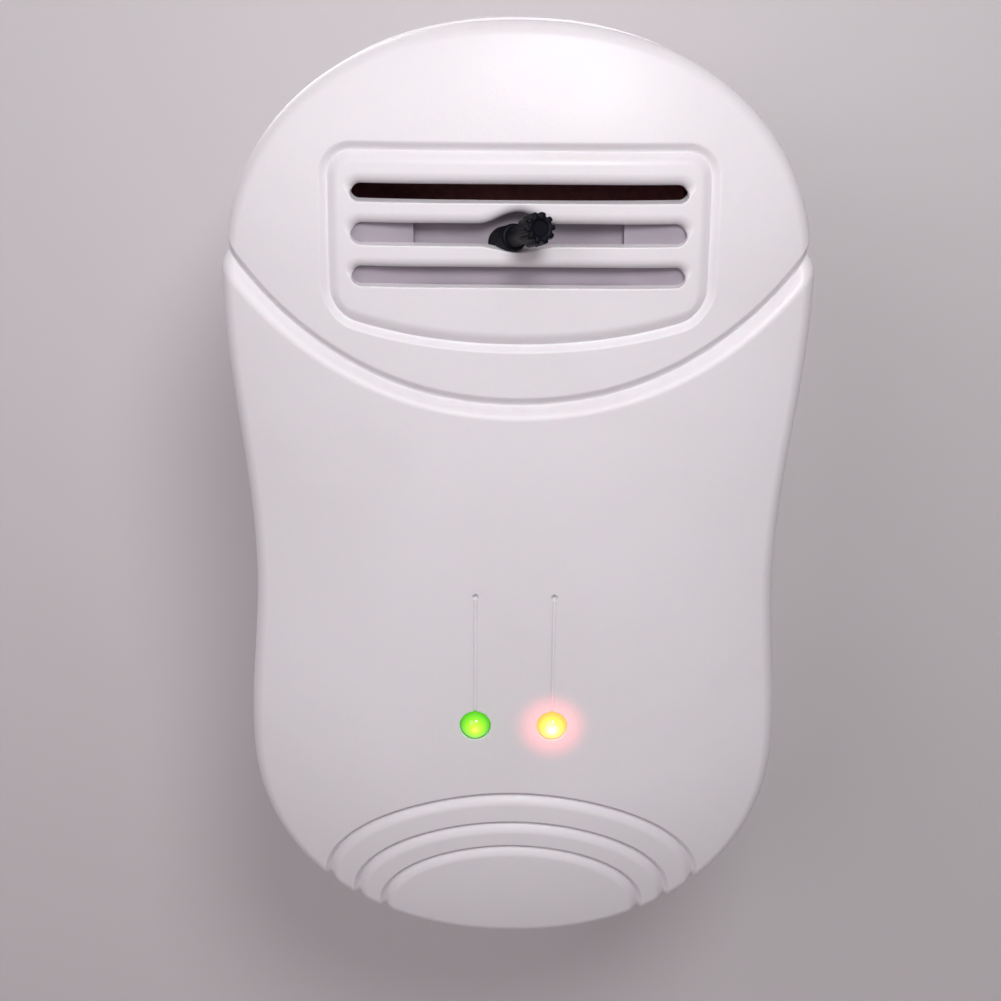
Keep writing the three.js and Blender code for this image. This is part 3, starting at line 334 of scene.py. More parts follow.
def frame_line(offset):
    """The frame's line moved outwards by offset, as a closed loop."""
    radius, centre = FRAME_ARC
    corner = FRAME_CORNER + offset
    x = FRAME_HALF_WIDTH - FRAME_CORNER
    reach = radius - FRAME_CORNER
    z = centre - math.sqrt(reach**2 - x**2)
    tangent = math.atan2(x, centre - z)
    top = FRAME_TOP - FRAME_CORNER
    turn = np.linspace(0, np.pi / 2, 13)
    upper = np.stack([x + corner * np.sin(turn), top + corner * np.cos(turn)], 1)
    turn = np.linspace(np.pi / 2, tangent, 13)
    lower = np.stack([x + corner * np.sin(turn), z - corner * np.cos(turn)], 1)
    turn = np.linspace(tangent, 0, 29)[1:]
    bottom = np.stack([(radius + offset) * np.sin(turn), centre - (radius + offset) * np.cos(turn)], 1)
    down = np.linspace(upper[-1], lower[0], 20)[1:-1]
    across = np.linspace([0, upper[0][1]], upper[0], 26)[:-1]
    right = np.concatenate([across, upper, down, lower, bottom])
    return np.concatenate([right, right[-2:0:-1] * [-1, 1]])


def slot_line(index, share):
    """The slot's edge moved outwards by a share of its rounding, as a closed loop."""
    level, half = SLOTS[index]
    reach = SLOT_HALF_LENGTH - half
    straight = np.linspace(-reach, reach, 67)
    turn = np.linspace(0, np.pi, 15)[1:-1]
    top = np.stack([straight, 0 * straight, 0 * straight, 0 * straight + 1], 1)
    right = np.stack([0 * turn + reach, 0 * turn, np.sin(turn), np.cos(turn)], 1)
    base = np.concatenate([top, right, -top * [1, 1, 1, 1], -right])
    base[67 + 13:67 + 13 + 67, 0] = straight[::-1]
    place, direction = base[:, :2], base[:, 2:]
    bulge = eye_bulge(place[:, 0], direction[:, 1] > 0) if index == 1 else 0 * place[:, 0]
    rounding = SLOT_EDGE + (SLOT_LIP - SLOT_EDGE) * ease((direction[:, 1] + 0.25) / 0.9)
    return place + [0, level] + direction * (half + bulge + share * rounding)[:, None]


def lamp_line(side, radius):
    """A circle round a lamp, with points where the engraved line's edges reach it."""
    marks = np.arcsin(np.array(LINE_KNOTS) / radius)
    turn = np.concatenate([marks, np.linspace(0.25, 2 * np.pi - 0.25, 45)])
    return np.stack([side * LAMP_X + radius * np.sin(turn), LAMP_LEVEL + radius * np.cos(turn)], 1)


LINE_KNOTS = [-0.26, -0.18, -0.09, 0.0, 0.09, 0.18, 0.26]
EDGE_KNOTS = [EDGE_ROUND * (1 - math.cos(math.pi / 2 * k / 10)) for k in range(11)]
LIP_KNOTS = [1 - math.sin(math.pi / 2 * k / 7) for k in range(7, -1, -1)]


def groove_knots(wall, ramp):
    """Offsets across a groove at which its section is drawn."""
    down = [-wall * share for share in (1.15, 1, 0.85, 0.7, 0.55, 0.4, 0.25, 0.12, 0.03)]
    up = [ramp * share for share in (0.03, 0.1, 0.18, 0.27, 0.37, 0.48, 0.6, 0.74, 0.9, 1.1)]
    return down + up


def hole_lines():
    holes = [slot_line(index, 0) for index in range(len(SLOTS))]
    return holes + [lamp_line(side, LAMP_HOLE) for side in (-1, 1)]


def face_lines():
    """Every line of the face's mesh, as (points, is a loop)."""
    lines = [(inset_ring(inset), True) for inset in EDGE_KNOTS[1:]]
    lines += [(lens_line(offset), False) for offset in groove_knots(GROOVE_WALL, GROOVE_RAMP)]
    for ellipse in ARC_GROOVES:
        for offset in groove_knots(ARC_GROOVE_WALL, ARC_GROOVE_RAMP):
            lines.append((ellipse_line(ellipse, -offset), False))
    lines += [(frame_line(-offset), True) for offset in groove_knots(FRAME_WALL, FRAME_RAMP)]
    for index in range(len(SLOTS)):
        lines += [(slot_line(index, share), True) for share in LIP_KNOTS[1:] + [1.12]]
    for side in (-1, 1):
        lines += [(lamp_line(side, LAMP_HOLE + LAMP_LIP * share), True) for share in (0.1, 0.3, 0.6, 1, 1.4)]
        foot = lamp_line(side, LAMP_HOLE)
        for k, knot in enumerate(LINE_KNOTS):
            z = np.linspace(PIT_LEVEL, foot[k][1], 18)
            lines.append((np.stack([np.full(18, side * LAMP_X + knot), z], 1), False))
        turn = np.linspace(0, 2 * np.pi, 25)[:-1]
        for share in (0.15, 0.4, 0.65, 0.85, 1.0, 1.2):
            ring = PIT_RADIUS * share * np.stack([np.sin(turn), np.cos(turn)], 1)
            lines.append((ring + [side * LAMP_X, PIT_LEVEL], True))
    return lines


def filling(lines, spacing, clear):
    """Points of a triangular grid inside the outline that stay clear of the lines."""
    rows = []
    for k, z in enumerate(np.arange(-TOP, TOP, spacing * math.sqrt(3) / 2)):
        x = np.arange(-UPPER_HALF, UPPER_HALF, spacing) + (k % 2) * spacing / 2
        rows.append(np.stack([x, np.full(len(x), z)], 1))
    grid = np.concatenate(rows)
    closeness = KDTree(sum(len(line) for line in lines))
    for k, point in enumerate(np.concatenate(lines)):
        closeness.insert((*point, 0), k)
    closeness.balance()
    free = [closeness.find((*point, 0))[2] > clear for point in grid]
    return grid[np.array(free)]


def triangulated(inset, holes, lines, spacing, clear):
    """Triangles inside the inset outline and outside the holes, along all the lines."""
    loops = [(inset_ring(inset), True)] + [(hole, True) for hole in holes] + lines
    points, edges, faces = [], [], []
    for line, closed in loops:
        first, last = len(points), len(points) + len(line) - 1
        points += line.tolist()
        edges += [(k, k + 1) for k in range(first, last)] + ([(last, first)] if closed else [])
        area = (line[:, 0] * np.roll(line[:, 1], -1) - line[:, 1] * np.roll(line[:, 0], -1)).sum()
        faces.append(list(range(first, last + 1))[:: 1 if area > 0 else -1])
    points += filling([line for line, _ in loops], spacing, clear).tolist()
    outlines = faces[:1 + len(holes)]
    made = delaunay_2d_cdt([Vector(point) for point in points], edges, outlines, 1, 1e-5, True)
    kept = [face for face, inside in zip(made[2], made[5]) if list(inside) == [0]]
    return np.array(made[0]), np.array(kept)


def rim_loops(triangles):
    """Loops of the edges that belong to one triangle only, in that triangle's order."""
    pairs = np.concatenate([triangles[:, [0, 1]], triangles[:, [1, 2]], triangles[:, [2, 0]]])
    known = {tuple(pair) for pair in pairs.tolist()}
    after = dict(sorted(pair for pair in known if pair[::-1] not in known))
    loops = []
    while after:
        start = next(iter(after))
        loop = [start]
        while after[loop[-1]] != start:
            loop.append(after.pop(loop[-1]))
        del after[loop[-1]]
        loops.append(np.array(loop))
    return loops


# ---- Front cover ----
class Shell:
    """Gathers vertices and faces with a normal for each corner."""

    def __init__(self):
        self.places, self.faces, self.corners = [], [], []
        self.count = 0

    def add(self, places):
        self.places.append(places)
        self.count += len(places)
        return self.count - len(places)

    def face(self, indices, normals):
        self.faces.append([int(k) for k in indices])
        self.corners += list(normals)

    def build(self, name):
        mesh = bpy.data.meshes.new(name)
        places = (np.concatenate(self.places) + [0, 0, CASE_MIDDLE]) * MM
        used, faces = np.unique(np.concatenate(self.faces), return_inverse=True)
        ends = np.cumsum([len(face) for face in self.faces])
        mesh.from_pydata(places[used].tolist(), [], [face.tolist() for face in np.split(faces, ends[:-1])])
        mesh.polygons.foreach_set("use_smooth", [True] * len(mesh.polygons))
        mesh.normals_split_custom_set([tuple(normal) for normal in self.corners])
        piece = bpy.data.objects.new(name, mesh)
        bpy.context.scene.collection.objects.link(piece)
        return piece


def wound(triangles, places):
    """Turns triangles seen from the front so that they face it."""
    a, b, c = (places[triangles[:, k]] for k in range(3))
    area = (b[:, 0] - a[:, 0]) * (c[:, 1] - a[:, 1]) - (b[:, 1] - a[:, 1]) * (c[:, 0] - a[:, 0])
    triangles = triangles.copy()
    triangles[area < 0] = triangles[area < 0][:, ::-1]
    return triangles


# Levels of the side wall down to the parting line, and how far each is drawn in.
SIDE_ROWS = [(RIM_Y + 2, 0), (SEAM_Y - 1, 0), (SEAM_Y - 0.25, 0), (SEAM_Y - 0.08, 0.07), (SEAM_Y, 0.25)]


def build_front_cover():
    shell = Shell()
    holes = hole_lines()
    flat, triangles = triangulated(0, holes, face_lines(), FACE_SPACING, FACE_CLEARANCE)
    triangles = wound(triangles, flat)
    places, normals = face_points(flat, 0, 0)
    shell.add(places)
    for triangle in triangles:
        shell.face(list(triangle), normals[triangle])
    outward = edge_distance(flat)[1]
    *holes, outer = sorted(rim_loops(triangles), key=len)

    back_holes = [flat[loop] for loop in holes]
    back_flat, back_triangles = triangulated(WALL, back_holes, [], BACK_SPACING, BACK_CLEARANCE)
    back_triangles = wound(back_triangles, back_flat)[:, ::-1]
    back_places, back_normals = face_points(back_flat, WALL, WALL)
    back = shell.add(back_places)
    for triangle in back_triangles:
        shell.face([back + k for k in triangle], -back_normals[triangle])

    # The slots and lamp holes, through the wall.
    nearest = KDTree(len(back_flat))
    for k, point in enumerate(back_flat):
        nearest.insert((*point, 0), k)
    nearest.balance()
    for hole in holes:
        ends = [back + nearest.find((*point, 0))[1] for point in flat[hole]]
        for k in range(len(hole)):
            a, b = hole[k - 1], hole[k]
            across = (flat[b] - flat[a]) / np.linalg.norm(flat[b] - flat[a])
            shell.face([b, a, ends[k - 1], ends[k]], [(across[1], 0, -across[0])] * 4)

    # The side wall, back to the parting line, and its inside.
    plain = np.stack([flat[outer, 0], np.full(len(outer), RIM_Y), flat[outer, 1]], 1)
    sideways = np.stack([outward[outer, 0], np.zeros(len(outer)), outward[outer, 1]], 1)
    leaned = marked(flat[outer], plain, sideways, RIM_SHARE)[1]
    rows = []
    for y, inset in SIDE_ROWS:
        plain[:, 1] = y
        lean = leaned + np.array([0, inset * 4, 0])
        lean /= np.linalg.norm(lean, axis=1)[:, None]
        sunk = marked(flat[outer], plain, sideways, RIM_SHARE)[0]
        rows.append((sunk - (inset + taper(y)) * sideways, lean))
    outer_end = flank(shell, outer, leaned, rows)

    *_, inner = sorted(rim_loops(back_triangles), key=len)
    inward = -edge_distance(back_flat[inner])[1]
    inward = np.stack([inward[:, 0], 0 * inward[:, 0], inward[:, 1]], 1)
    rows = []
    for y in (RIM_Y + WALL + 1, SEAM_Y):
        row = back_places[inner].copy()
        row[:, 1] = y
        rows.append((row + taper(y) * inward, inward))
    inner_end = flank(shell, back + inner, inward, rows)
    seam_face(shell, outer_end, flat[outer], inner_end, back_flat[inner])
    return shell.build("front_cover_shell")


def flank(shell, loop, normals, rows):
    """Continues a loop of the shell backwards through rows of (places, normals)."""
    for places, tilts in rows:
        ahead = shell.add(places) + np.arange(len(places))
        for k in range(len(loop)):
            quad = [loop[k], loop[k - 1], ahead[k - 1], ahead[k]]
            shell.face(quad, [normals[k], normals[k - 1], tilts[k - 1], tilts[k]])
        loop, normals = ahead, tilts
    return loop


def seam_face(shell, outer, outer_flat, inner, inner_flat):
    """Joins two loops at the parting line, which go round opposite ways, with triangles that face back."""
    inner, inner_flat = inner[::-1], inner_flat[::-1]
    start = np.hypot(*(inner_flat - outer_flat[0]).T).argmin()
    inner, inner_flat = np.roll(inner, -start), np.roll(inner_flat, -start, 0)
    a = b = 0
    while a < len(outer) or b < len(inner):
        here, there = a % len(outer), b % len(inner)
        next_here, next_there = (a + 1) % len(outer), (b + 1) % len(inner)
        gap = np.hypot(*(outer_flat[next_here] - inner_flat[there]))
        other_gap = np.hypot(*(inner_flat[next_there] - outer_flat[here]))
        along_outer = b >= len(inner) or (a < len(outer) and gap <= other_gap)
        third = outer[next_here] if along_outer else inner[next_there]
        shell.face([third, outer[here], inner[there]], [(0, 1, 0)] * 3)
        a, b = (a + 1, b) if along_outer else (a, b + 1)


front_cover = build_front_cover()


# ---- Modelling by hand ----
def deselect():
    if bpy.context.object and bpy.context.object.mode != "OBJECT":
        bpy.ops.object.mode_set(mode="OBJECT")
    bpy.ops.object.select_all(action="DESELECT")


def take(piece):
    deselect()
    piece.select_set(True)
    bpy.context.view_layer.objects.active = piece
    return piece


def placed(x=0.0, y=0.0, z=0.0, turn=Matrix()):
    """The place in the row frame of what is drawn in millimetres round x, y, z of the case."""
    return Matrix.Translation(Vector((x, y, z + CASE_MIDDLE)) * MM) @ turn


FORWARDS = Matrix.Rotation(math.pi / 2, 4, "X")  # what is drawn upwards then points out of the front
BACKWARDS = Matrix.Rotation(-math.pi / 2, 4, "X")


def settled(piece, name, place):
    """Names a piece and moves it to its place, in its mesh."""
    take(piece)
    bpy.ops.object.transform_apply(location=True, rotation=True, scale=True)
    piece.data.transform(place)
    piece.name = piece.data.name = name
    return piece


def turned(name, profile, place, sides=64, hollow=False):
    """A turned piece: a circle drawn out through [radius, height] steps. A hollow one ends where it starts."""
    deselect()
    (radius, height), *steps = profile
    fill = "NOTHING" if hollow else "NGON"
    start = (0, 0, height * MM)
    bpy.ops.mesh.primitive_circle_add(vertices=sides, radius=radius * MM, fill_type=fill, location=start)
    piece = bpy.context.object
    bpy.ops.object.mode_set(mode="EDIT")
    bpy.ops.mesh.select_all(action="SELECT")
    for next_radius, next_height in steps:
        rise = {"value": (0, 0, (next_height - height) * MM)}
        if hollow:
            bpy.ops.mesh.extrude_edges_move(TRANSFORM_OT_translate=rise)
        else:
            bpy.ops.mesh.extrude_region_move(TRANSFORM_OT_translate=rise)
        share = next_radius / radius
        bpy.ops.transform.resize(value=(share, share, 1), center_override=(0, 0, 0))
        radius, height = next_radius, next_height
    bpy.ops.mesh.select_all(action="SELECT")
    if hollow:
        bpy.ops.mesh.remove_doubles(threshold=1e-7)
    bpy.ops.mesh.normals_make_consistent(inside=False)
    bpy.ops.object.mode_set(mode="OBJECT")
    return settled(piece, name, place)


def outlined(name, inset, back, front):
    """A block in the form of the case, drawn in by inset and tapered, from y = back to y = front."""
    deselect()
    rings = {y: inset_ring(inset + taper(y))[::2] for y in (back, front)}
    bpy.ops.mesh.primitive_circle_add(vertices=len(rings[back]), fill_type="NGON")
    piece = bpy.context.object
    for vertex, (x, z) in zip(piece.data.vertices, rings[back]):
        vertex.co = Vector((x, back, z)) * MM
    bpy.ops.object.mode_set(mode="EDIT")
    bpy.ops.mesh.select_all(action="SELECT")
    bpy.ops.mesh.extrude_region_move(TRANSFORM_OT_translate={"value": (0, (front - back) * MM, 0)})
    bpy.ops.object.mode_set(mode="OBJECT")
    for vertex in piece.data.vertices:
        if abs(vertex.co.y / MM - front) < 1e-3:
            spot = np.array([vertex.co.x, vertex.co.z]) / MM
            match = np.hypot(*(rings[back] - spot).T).argmin()
            vertex.co = Vector((rings[front][match][0], front, rings[front][match][1])) * MM
    bpy.ops.object.mode_set(mode="EDIT")
    bpy.ops.mesh.select_all(action="SELECT")
    bpy.ops.mesh.normals_make_consistent(inside=False)
    bpy.ops.object.mode_set(mode="OBJECT")
    return settled(piece, name, placed())


def block(name, size, centre):
    deselect()
    bpy.ops.mesh.primitive_cube_add(size=1)
    piece = bpy.context.object
    piece.scale = Vector(size) * MM
    return settled(piece, name, placed(*centre))


def bevel_edges(piece, chosen, width, segments):
    """Rounds the edges for which chosen(edge's ends in millimetres round the case) holds."""
    take(piece)
    bpy.ops.object.mode_set(mode="EDIT")
    bpy.ops.mesh.select_mode(type="EDGE")
    bpy.ops.mesh.select_all(action="DESELECT")
    bpy.ops.object.mode_set(mode="OBJECT")
    for edge in piece.data.edges:
        ends = [piece.data.vertices[k].co / MM - Vector((0, 0, CASE_MIDDLE)) for k in edge.vertices]
        edge.select = bool(chosen(*ends))
    bpy.ops.object.mode_set(mode="EDIT")
    bpy.ops.mesh.bevel(offset=width * MM, segments=segments, profile=0.5, affect="EDGES", clamp_overlap=True)
    bpy.ops.object.mode_set(mode="OBJECT")
    return piece


def finished(piece, modifier, **settings):
    """Adds a modifier to a piece and applies it."""
    take(piece)
    made = piece.modifiers.new(modifier.lower(), modifier)
    for setting, value in settings.items():
        setattr(made, setting, value)
    bpy.ops.object.modifier_apply(modifier=made.name)
    return piece


def cut(piece, *cutters, operation="DIFFERENCE"):
    for cutter in cutters:
        finished(piece, "BOOLEAN", operation=operation, solver="EXACT", object=cutter)
        bpy.data.objects.remove(cutter)
    return piece


def smoothed(piece, angle=32):
    take(piece)
    bpy.ops.object.shade_smooth_by_angle(angle=math.radians(angle))
    return piece


def copied(piece, name, move):
    """A copy of a piece with its own mesh, moved by millimetres."""
    twin = piece.copy()
    twin.data = piece.data.copy()
    twin.data.transform(Matrix.Translation(Vector(move) * MM))
    twin.name = twin.data.name = name
    bpy.context.scene.collection.objects.link(twin)
    return twin


def middle_of(node):
    """The middle of a CAD node, in millimetres round the case."""
    low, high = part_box(node)
    return (low + high) / 2 / MM - Vector((0, 0, CASE_MIDDLE))


# ---- Rear cover, its label and screws ----
PIN_X = middle_of("plug_pin_right").x
PIN_LEVEL = middle_of("plug_pin_right").z
SCREW_SINK = 9.0
SCREWS = [middle_of(f"case_screw_{k}") for k in (1, 2, 3, 4)]


def build_rear_cover():
    front = SEAM_Y + SEAM_GAP
    tray = outlined("rear_cover_tray", 0, front, 0)
    bevel_edges(tray, lambda a, b: abs(a.y) < 1e-3 and abs(b.y) < 1e-3, REAR_ROUND, 8)
    bevel_edges(tray, lambda a, b: abs(a.y - front) < 1e-3 and abs(b.y - front) < 1e-3, 0.2, 2)
    cut(tray, outlined("lip", WALL + SEAM_GAP, front - 2.5, front + 2), operation="UNION")
    opening = outlined("opening", WALL + SEAM_GAP + 1, front - 3, front + 2.2)
    rooms = [opening, outlined("room", WALL, front + 2, -WALL)]
    for room in rooms:
        towers = [turned("tower", [(3.5, 0), (3.5, 40)], placed(at.x, 0, at.z, FORWARDS)) for at in SCREWS]
        cut(room, *towers)
    cut(tray, *rooms)
    for at in SCREWS:
        well = [(1.6, -40), (1.6, -SCREW_SINK), (2.5, -SCREW_SINK), (2.5, -0.3), (2.8, 0), (2.8, 2)]
        cut(tray, turned("well", well, placed(at.x, 0, at.z, BACKWARDS), 40))
    for side in (-1, 1):
        mouth = [(2.25, -5), (2.25, -0.3), (2.6, 0.05), (2.6, 2)]
        cut(tray, turned("mouth", mouth, placed(side * PIN_X, 0, PIN_LEVEL, BACKWARDS), 40))
    at = middle_of("rating_label")
    recess = block("recess", (31, 4, 19), (0, 1.4, at.z))
    bevel_edges(recess, lambda a, b: abs(a.y - b.y) > 1, 1.5, 8)
    cut(tray, recess)
    return smoothed(tray, 28)


def build_label():
    low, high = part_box("rating_label")
    at, size = middle_of("rating_label"), (high - low) / MM
    label = block("label_film", (size.x, 0.2, size.z), (at.x, at.y, at.z))
    bevel_edges(label, lambda a, b: abs(a.y - b.y) > 0.1, 1.0, 8)
    bevel_edges(label, lambda a, b: min(a.y, b.y) > at.y + 0.09, 0.05, 2)
    return smoothed(label)


def cross_recess(at, radius, depth, turn):
    """A cutter for a screw's cross recess, tapered towards its bottom."""
    arms = []
    for size in ((radius * 1.25, radius * 0.32), (radius * 0.32, radius * 1.25)):
        deselect()
        bpy.ops.mesh.primitive_cube_add(size=1)
        arm = bpy.context.object
        arm.scale = Vector((size[0], size[1], 2 * depth)) * MM
        bpy.ops.object.transform_apply(scale=True)
        bpy.ops.object.mode_set(mode="EDIT")
        bpy.ops.mesh.select_all(action="DESELECT")
        bpy.ops.object.mode_set(mode="OBJECT")
        for face in arm.data.polygons:
            face.select = face.normal.z < -0.9
        bpy.ops.object.mode_set(mode="EDIT")
        bpy.ops.mesh.select_mode(type="FACE")
        bpy.ops.transform.resize(value=(0.55, 0.55, 1))
        arms.append(settled(arm, "arm", placed(*at, turn)))
    return cut(arms[0], arms[1], operation="UNION")


def build_case_screws():
    first = SCREWS[0]
    seat = -SCREW_SINK + 0.3
    profile = [(0.5, -20.9), (1.4, -19.6), (1.4, 0), (2.25, 0), (2.3, 0.15), (2.3, 0.7)]
    profile += [(2.3 * math.cos(a), 0.7 + 1.1 * math.sin(a)) for a in (0.35, 0.7, 1.0, 1.25, 1.45)]
    screw = turned("case_screw_a", profile, placed(first.x, seat, first.z, BACKWARDS), 40)
    cut(screw, cross_recess((first.x, seat + 1.8, first.z), 2.3, 1.1, BACKWARDS))
    smoothed(screw)
    others = [copied(screw, f"case_screw_{letter}", (at.x - first.x, 0, at.z - first.z))
              for letter, at in zip("bcd", SCREWS[1:])]
    return [screw, *others]


# ---- Plug pins ----
def build_pins():
    pins, sleeves = [], []
    for name, side in (("left", -1), ("right", 1)):
        place = placed(side * PIN_X, 0, PIN_LEVEL, BACKWARDS)
        tip = [(2 * math.cos(a), 17 + 2 * math.sin(a)) for a in np.linspace(0, 1.45, 10)]
        body = [(1.1, -8), (1.2, -7.9), (1.2, -3.5), (3.1, -3.5), (3.2, -3.4), (3.2, -2.4), (3.1, -2.3)]
        body += [(1.2, -2.3), (1.2, 10.3), (1.88, 10.3), (2, 10.42)]
        pins.append(smoothed(turned(f"pin_{name}", body + tip, place, 48)))
        tube = [(1.45, -1.7), (1.95, -1.7), (2, -1.65), (2, 9.9), (1.96, 9.97), (1.88, 10), (1.45, 10)]
        tube.append(tube[0])
        sleeves.append(smoothed(turned(f"sleeve_{name}", tube, place, 48, hollow=True)))
    return pins, sleeves


# ---- Lamps ----
def build_lamp(name, node):
    low, high = (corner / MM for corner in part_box(node))
    at = middle_of(node)
    height = high.y - low.y
    shoulder = height - 1.5
    profile = [(1.85, 0), (1.9, 0.05), (1.9, 0.95), (1.85, 1), (1.55, 1), (1.5, 1.05)]
    profile += [(1.5 * math.cos(a), shoulder + 1.5 * math.sin(a)) for a in np.linspace(0, 1.5, 14)]
    return smoothed(turned(name, profile, placed(at.x, high.y, at.z, FORWARDS)), 50)


# ---- Adjuster shaft ----
joint = frame["joints"][0]
PIVOT = Vector(joint["pos_m"])
ALONG = Vector(joint["axis"]).normalized()
LEAN = Matrix.Translation(PIVOT) @ ALONG.to_track_quat("Z", "Y").to_matrix().to_4x4()
TEETH = 10


def build_shaft():
    profile = [(2.5, -9), (2.6, -8.9), (2.6, -7.5), (2.5, -7.4), (1.05, -7.4), (1.05, -5.1), (1.25, -5.1)]
    profile += [(1.25, 1.3), (1.23, 1.42), (1.17, 1.53), (1.08, 1.6), (0.98, 1.6), (0.92, 1.7), (0.92, 5.2)]
    profile += [(1.0, 5.4), (1.3, 5.42), (1.4, 5.47), (1.45, 5.58), (1.45, 6.2), (1.45, 6.9), (1.45, 7.6), (1.42, 7.75)]
    profile += [(1.34, 7.86), (1.22, 7.9), (0.8, 7.9), (0.72, 7.84), (0.66, 7.7)]
    shaft = turned("adjuster_shaft", profile, Matrix(), 160)
    take(shaft)
    for vertex in shaft.data.vertices:
        if vertex.co.z > 5.41 * MM and math.hypot(vertex.co.x, vertex.co.y) > 0.9 * MM:
            wave = math.cos(TEETH * math.atan2(vertex.co.y, vertex.co.x))
            notch = 0.2 * (0.5 - 0.5 * math.tanh(2.6 * wave + 0.6))
            vertex.co.x *= 1 - notch
            vertex.co.y *= 1 - notch
    shaft.data.transform(LEAN)
    return smoothed(shaft, 38)


# ---- Plate behind the slots ----
PLATE_FORWARD = 0.5  # how much nearer the slots its front is than the CAD plate's
POCKET_LENGTH, POCKET_HEIGHT, POCKET_DEPTH = 19.4, 4.2, 1.0
SHAFT_HOLE = 1.33


def build_plate():
    low, high = (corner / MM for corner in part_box("grille_plate"))
    at, size = middle_of("grille_plate"), high - low
    thick = size.y + PLATE_FORWARD
    plate = block("grille_backplate", (size.x, thick, size.z), (at.x, at.y - PLATE_FORWARD / 2, at.z))
    bevel_edges(plate, lambda a, b: abs(a.y - b.y) > 1, 1.0, 6)
    bevel_edges(plate, lambda a, b: max(a.y, b.y) < at.y, 0.15, 2)
    level, front = SLOTS[1][0], low.y - PLATE_FORWARD
    pocket = block("pocket", (POCKET_LENGTH, 2 * POCKET_DEPTH, POCKET_HEIGHT), (0, front, level))
    bevel_edges(pocket, lambda a, b: abs(a.y - b.y) > 1, 0.4, 4)
    bevel_edges(pocket, lambda a, b: min(a.y, b.y) > front, 0.2, 2)
    cut(plate, pocket, turned("shaft_hole", [(SHAFT_HOLE, -9), (SHAFT_HOLE, 9)], LEAN, 48))
    return smoothed(plate)


rear_cover = build_rear_cover()
label = build_label()
case_screws = build_case_screws()
pins, sleeves = build_pins()
green_lamp = build_lamp("green_lamp_lens", "green_led")
red_lamp = build_lamp("red_lamp_lens", "red_led")
shaft = build_shaft()
plate = build_plate()


# ---- Finishes ----
def put(tree, kind, inputs=None, **settings):
    """A node with its settings, and its inputs given as values or as other nodes' outputs."""
    made = tree.nodes.new("ShaderNode" + kind)
    for setting, value in settings.items():
        setattr(made, setting, value)
    for socket, value in (inputs or {}).items():
        if isinstance(value, bpy.types.NodeSocket):
            tree.links.new(value, made.inputs[socket])
        else:
            made.inputs[socket].default_value = value
    return made


def effect(name, inputs, outputs):
    """An empty shader node group: its tree, its input node and its output node."""
    tree = bpy.data.node_groups.new(name, "ShaderNodeTree")
    for direction, sockets in (("INPUT", inputs), ("OUTPUT", outputs)):
        for socket, kind, *default in sockets:
            made = tree.interface.new_socket(name=socket, in_out=direction, socket_type="NodeSocket" + kind)
            if default:
                made.default_value = default[0]
    return tree, tree.nodes.new("NodeGroupInput"), tree.nodes.new("NodeGroupOutput")


def maths(tree, operation, *values, clamp=False):
    return put(tree, "Math", dict(enumerate(values)), operation=operation, use_clamp=clamp).outputs[0]


def ranged(tree, value, low, high, to_low=0.0, to_high=1.0):
    inputs = {"Value": value, "From Min": low, "From Max": high, "To Min": to_low, "To Max": to_high}
    return put(tree, "MapRange", inputs, interpolation_type="SMOOTHSTEP").outputs["Result"]


def moulded_grain():
    """The spark-eroded grain of a mould, as a height for the bump."""
    inputs = [("Vector", "Vector"), ("Scale", "Float", 5000.0), ("Coarse", "Float", 0.4)]
    tree, start, end = effect("moulded_grain", inputs, [("Height", "Float")])
    vector, scale = start.outputs["Vector"], start.outputs["Scale"]
    fine = {"Vector": vector, "Scale": scale, "Detail": 3.0, "Roughness": 0.6}
    coarse = {"Vector": vector, "Scale": maths(tree, "MULTIPLY", scale, 0.3), "Detail": 2.0}
    heights = [put(tree, "TexNoise", noise).outputs["Fac"] for noise in (fine, coarse)]
    mix = {"Factor": start.outputs["Coarse"], "A": heights[0], "B": heights[1]}
    tree.links.new(put(tree, "Mix", mix, data_type="FLOAT").outputs[0], end.inputs["Height"])
    return tree


def handling():
    """Broad soft patches where a surface has been touched, 0 to 1."""
    inputs = [("Vector", "Vector"), ("Scale", "Float", 60.0)]
    tree, start, end = effect("handling", inputs, [("Mask", "Float")])
    vector, scale = start.outputs["Vector"], start.outputs["Scale"]
    noise = {"Vector": vector, "Scale": scale, "Detail": 4.0, "Distortion": 0.6}
    patch = put(tree, "TexNoise", noise).outputs["Fac"]
    tree.links.new(ranged(tree, patch, 0.35, 0.7), end.inputs["Mask"])
    return tree


def settled_dust():
    """Dust that lies on what faces up, 0 to 1."""
    inputs = [("Vector", "Vector"), ("Scale", "Float", 900.0)]
    tree, start, end = effect("settled_dust", inputs, [("Mask", "Float")])
    normal = put(tree, "NewGeometry").outputs["Normal"]
    upwards = ranged(tree, put(tree, "SeparateXYZ", {"Vector": normal}).outputs["Z"], 0.25, 1.0)
    vector, scale = start.outputs["Vector"], start.outputs["Scale"]
    noise = {"Vector": vector, "Scale": scale, "Detail": 5.0, "Roughness": 0.7}
    patchy = ranged(tree, put(tree, "TexNoise", noise).outputs["Fac"], 0.35, 0.7)
    tree.links.new(maths(tree, "MULTIPLY", upwards, patchy), end.inputs["Mask"])
    return tree


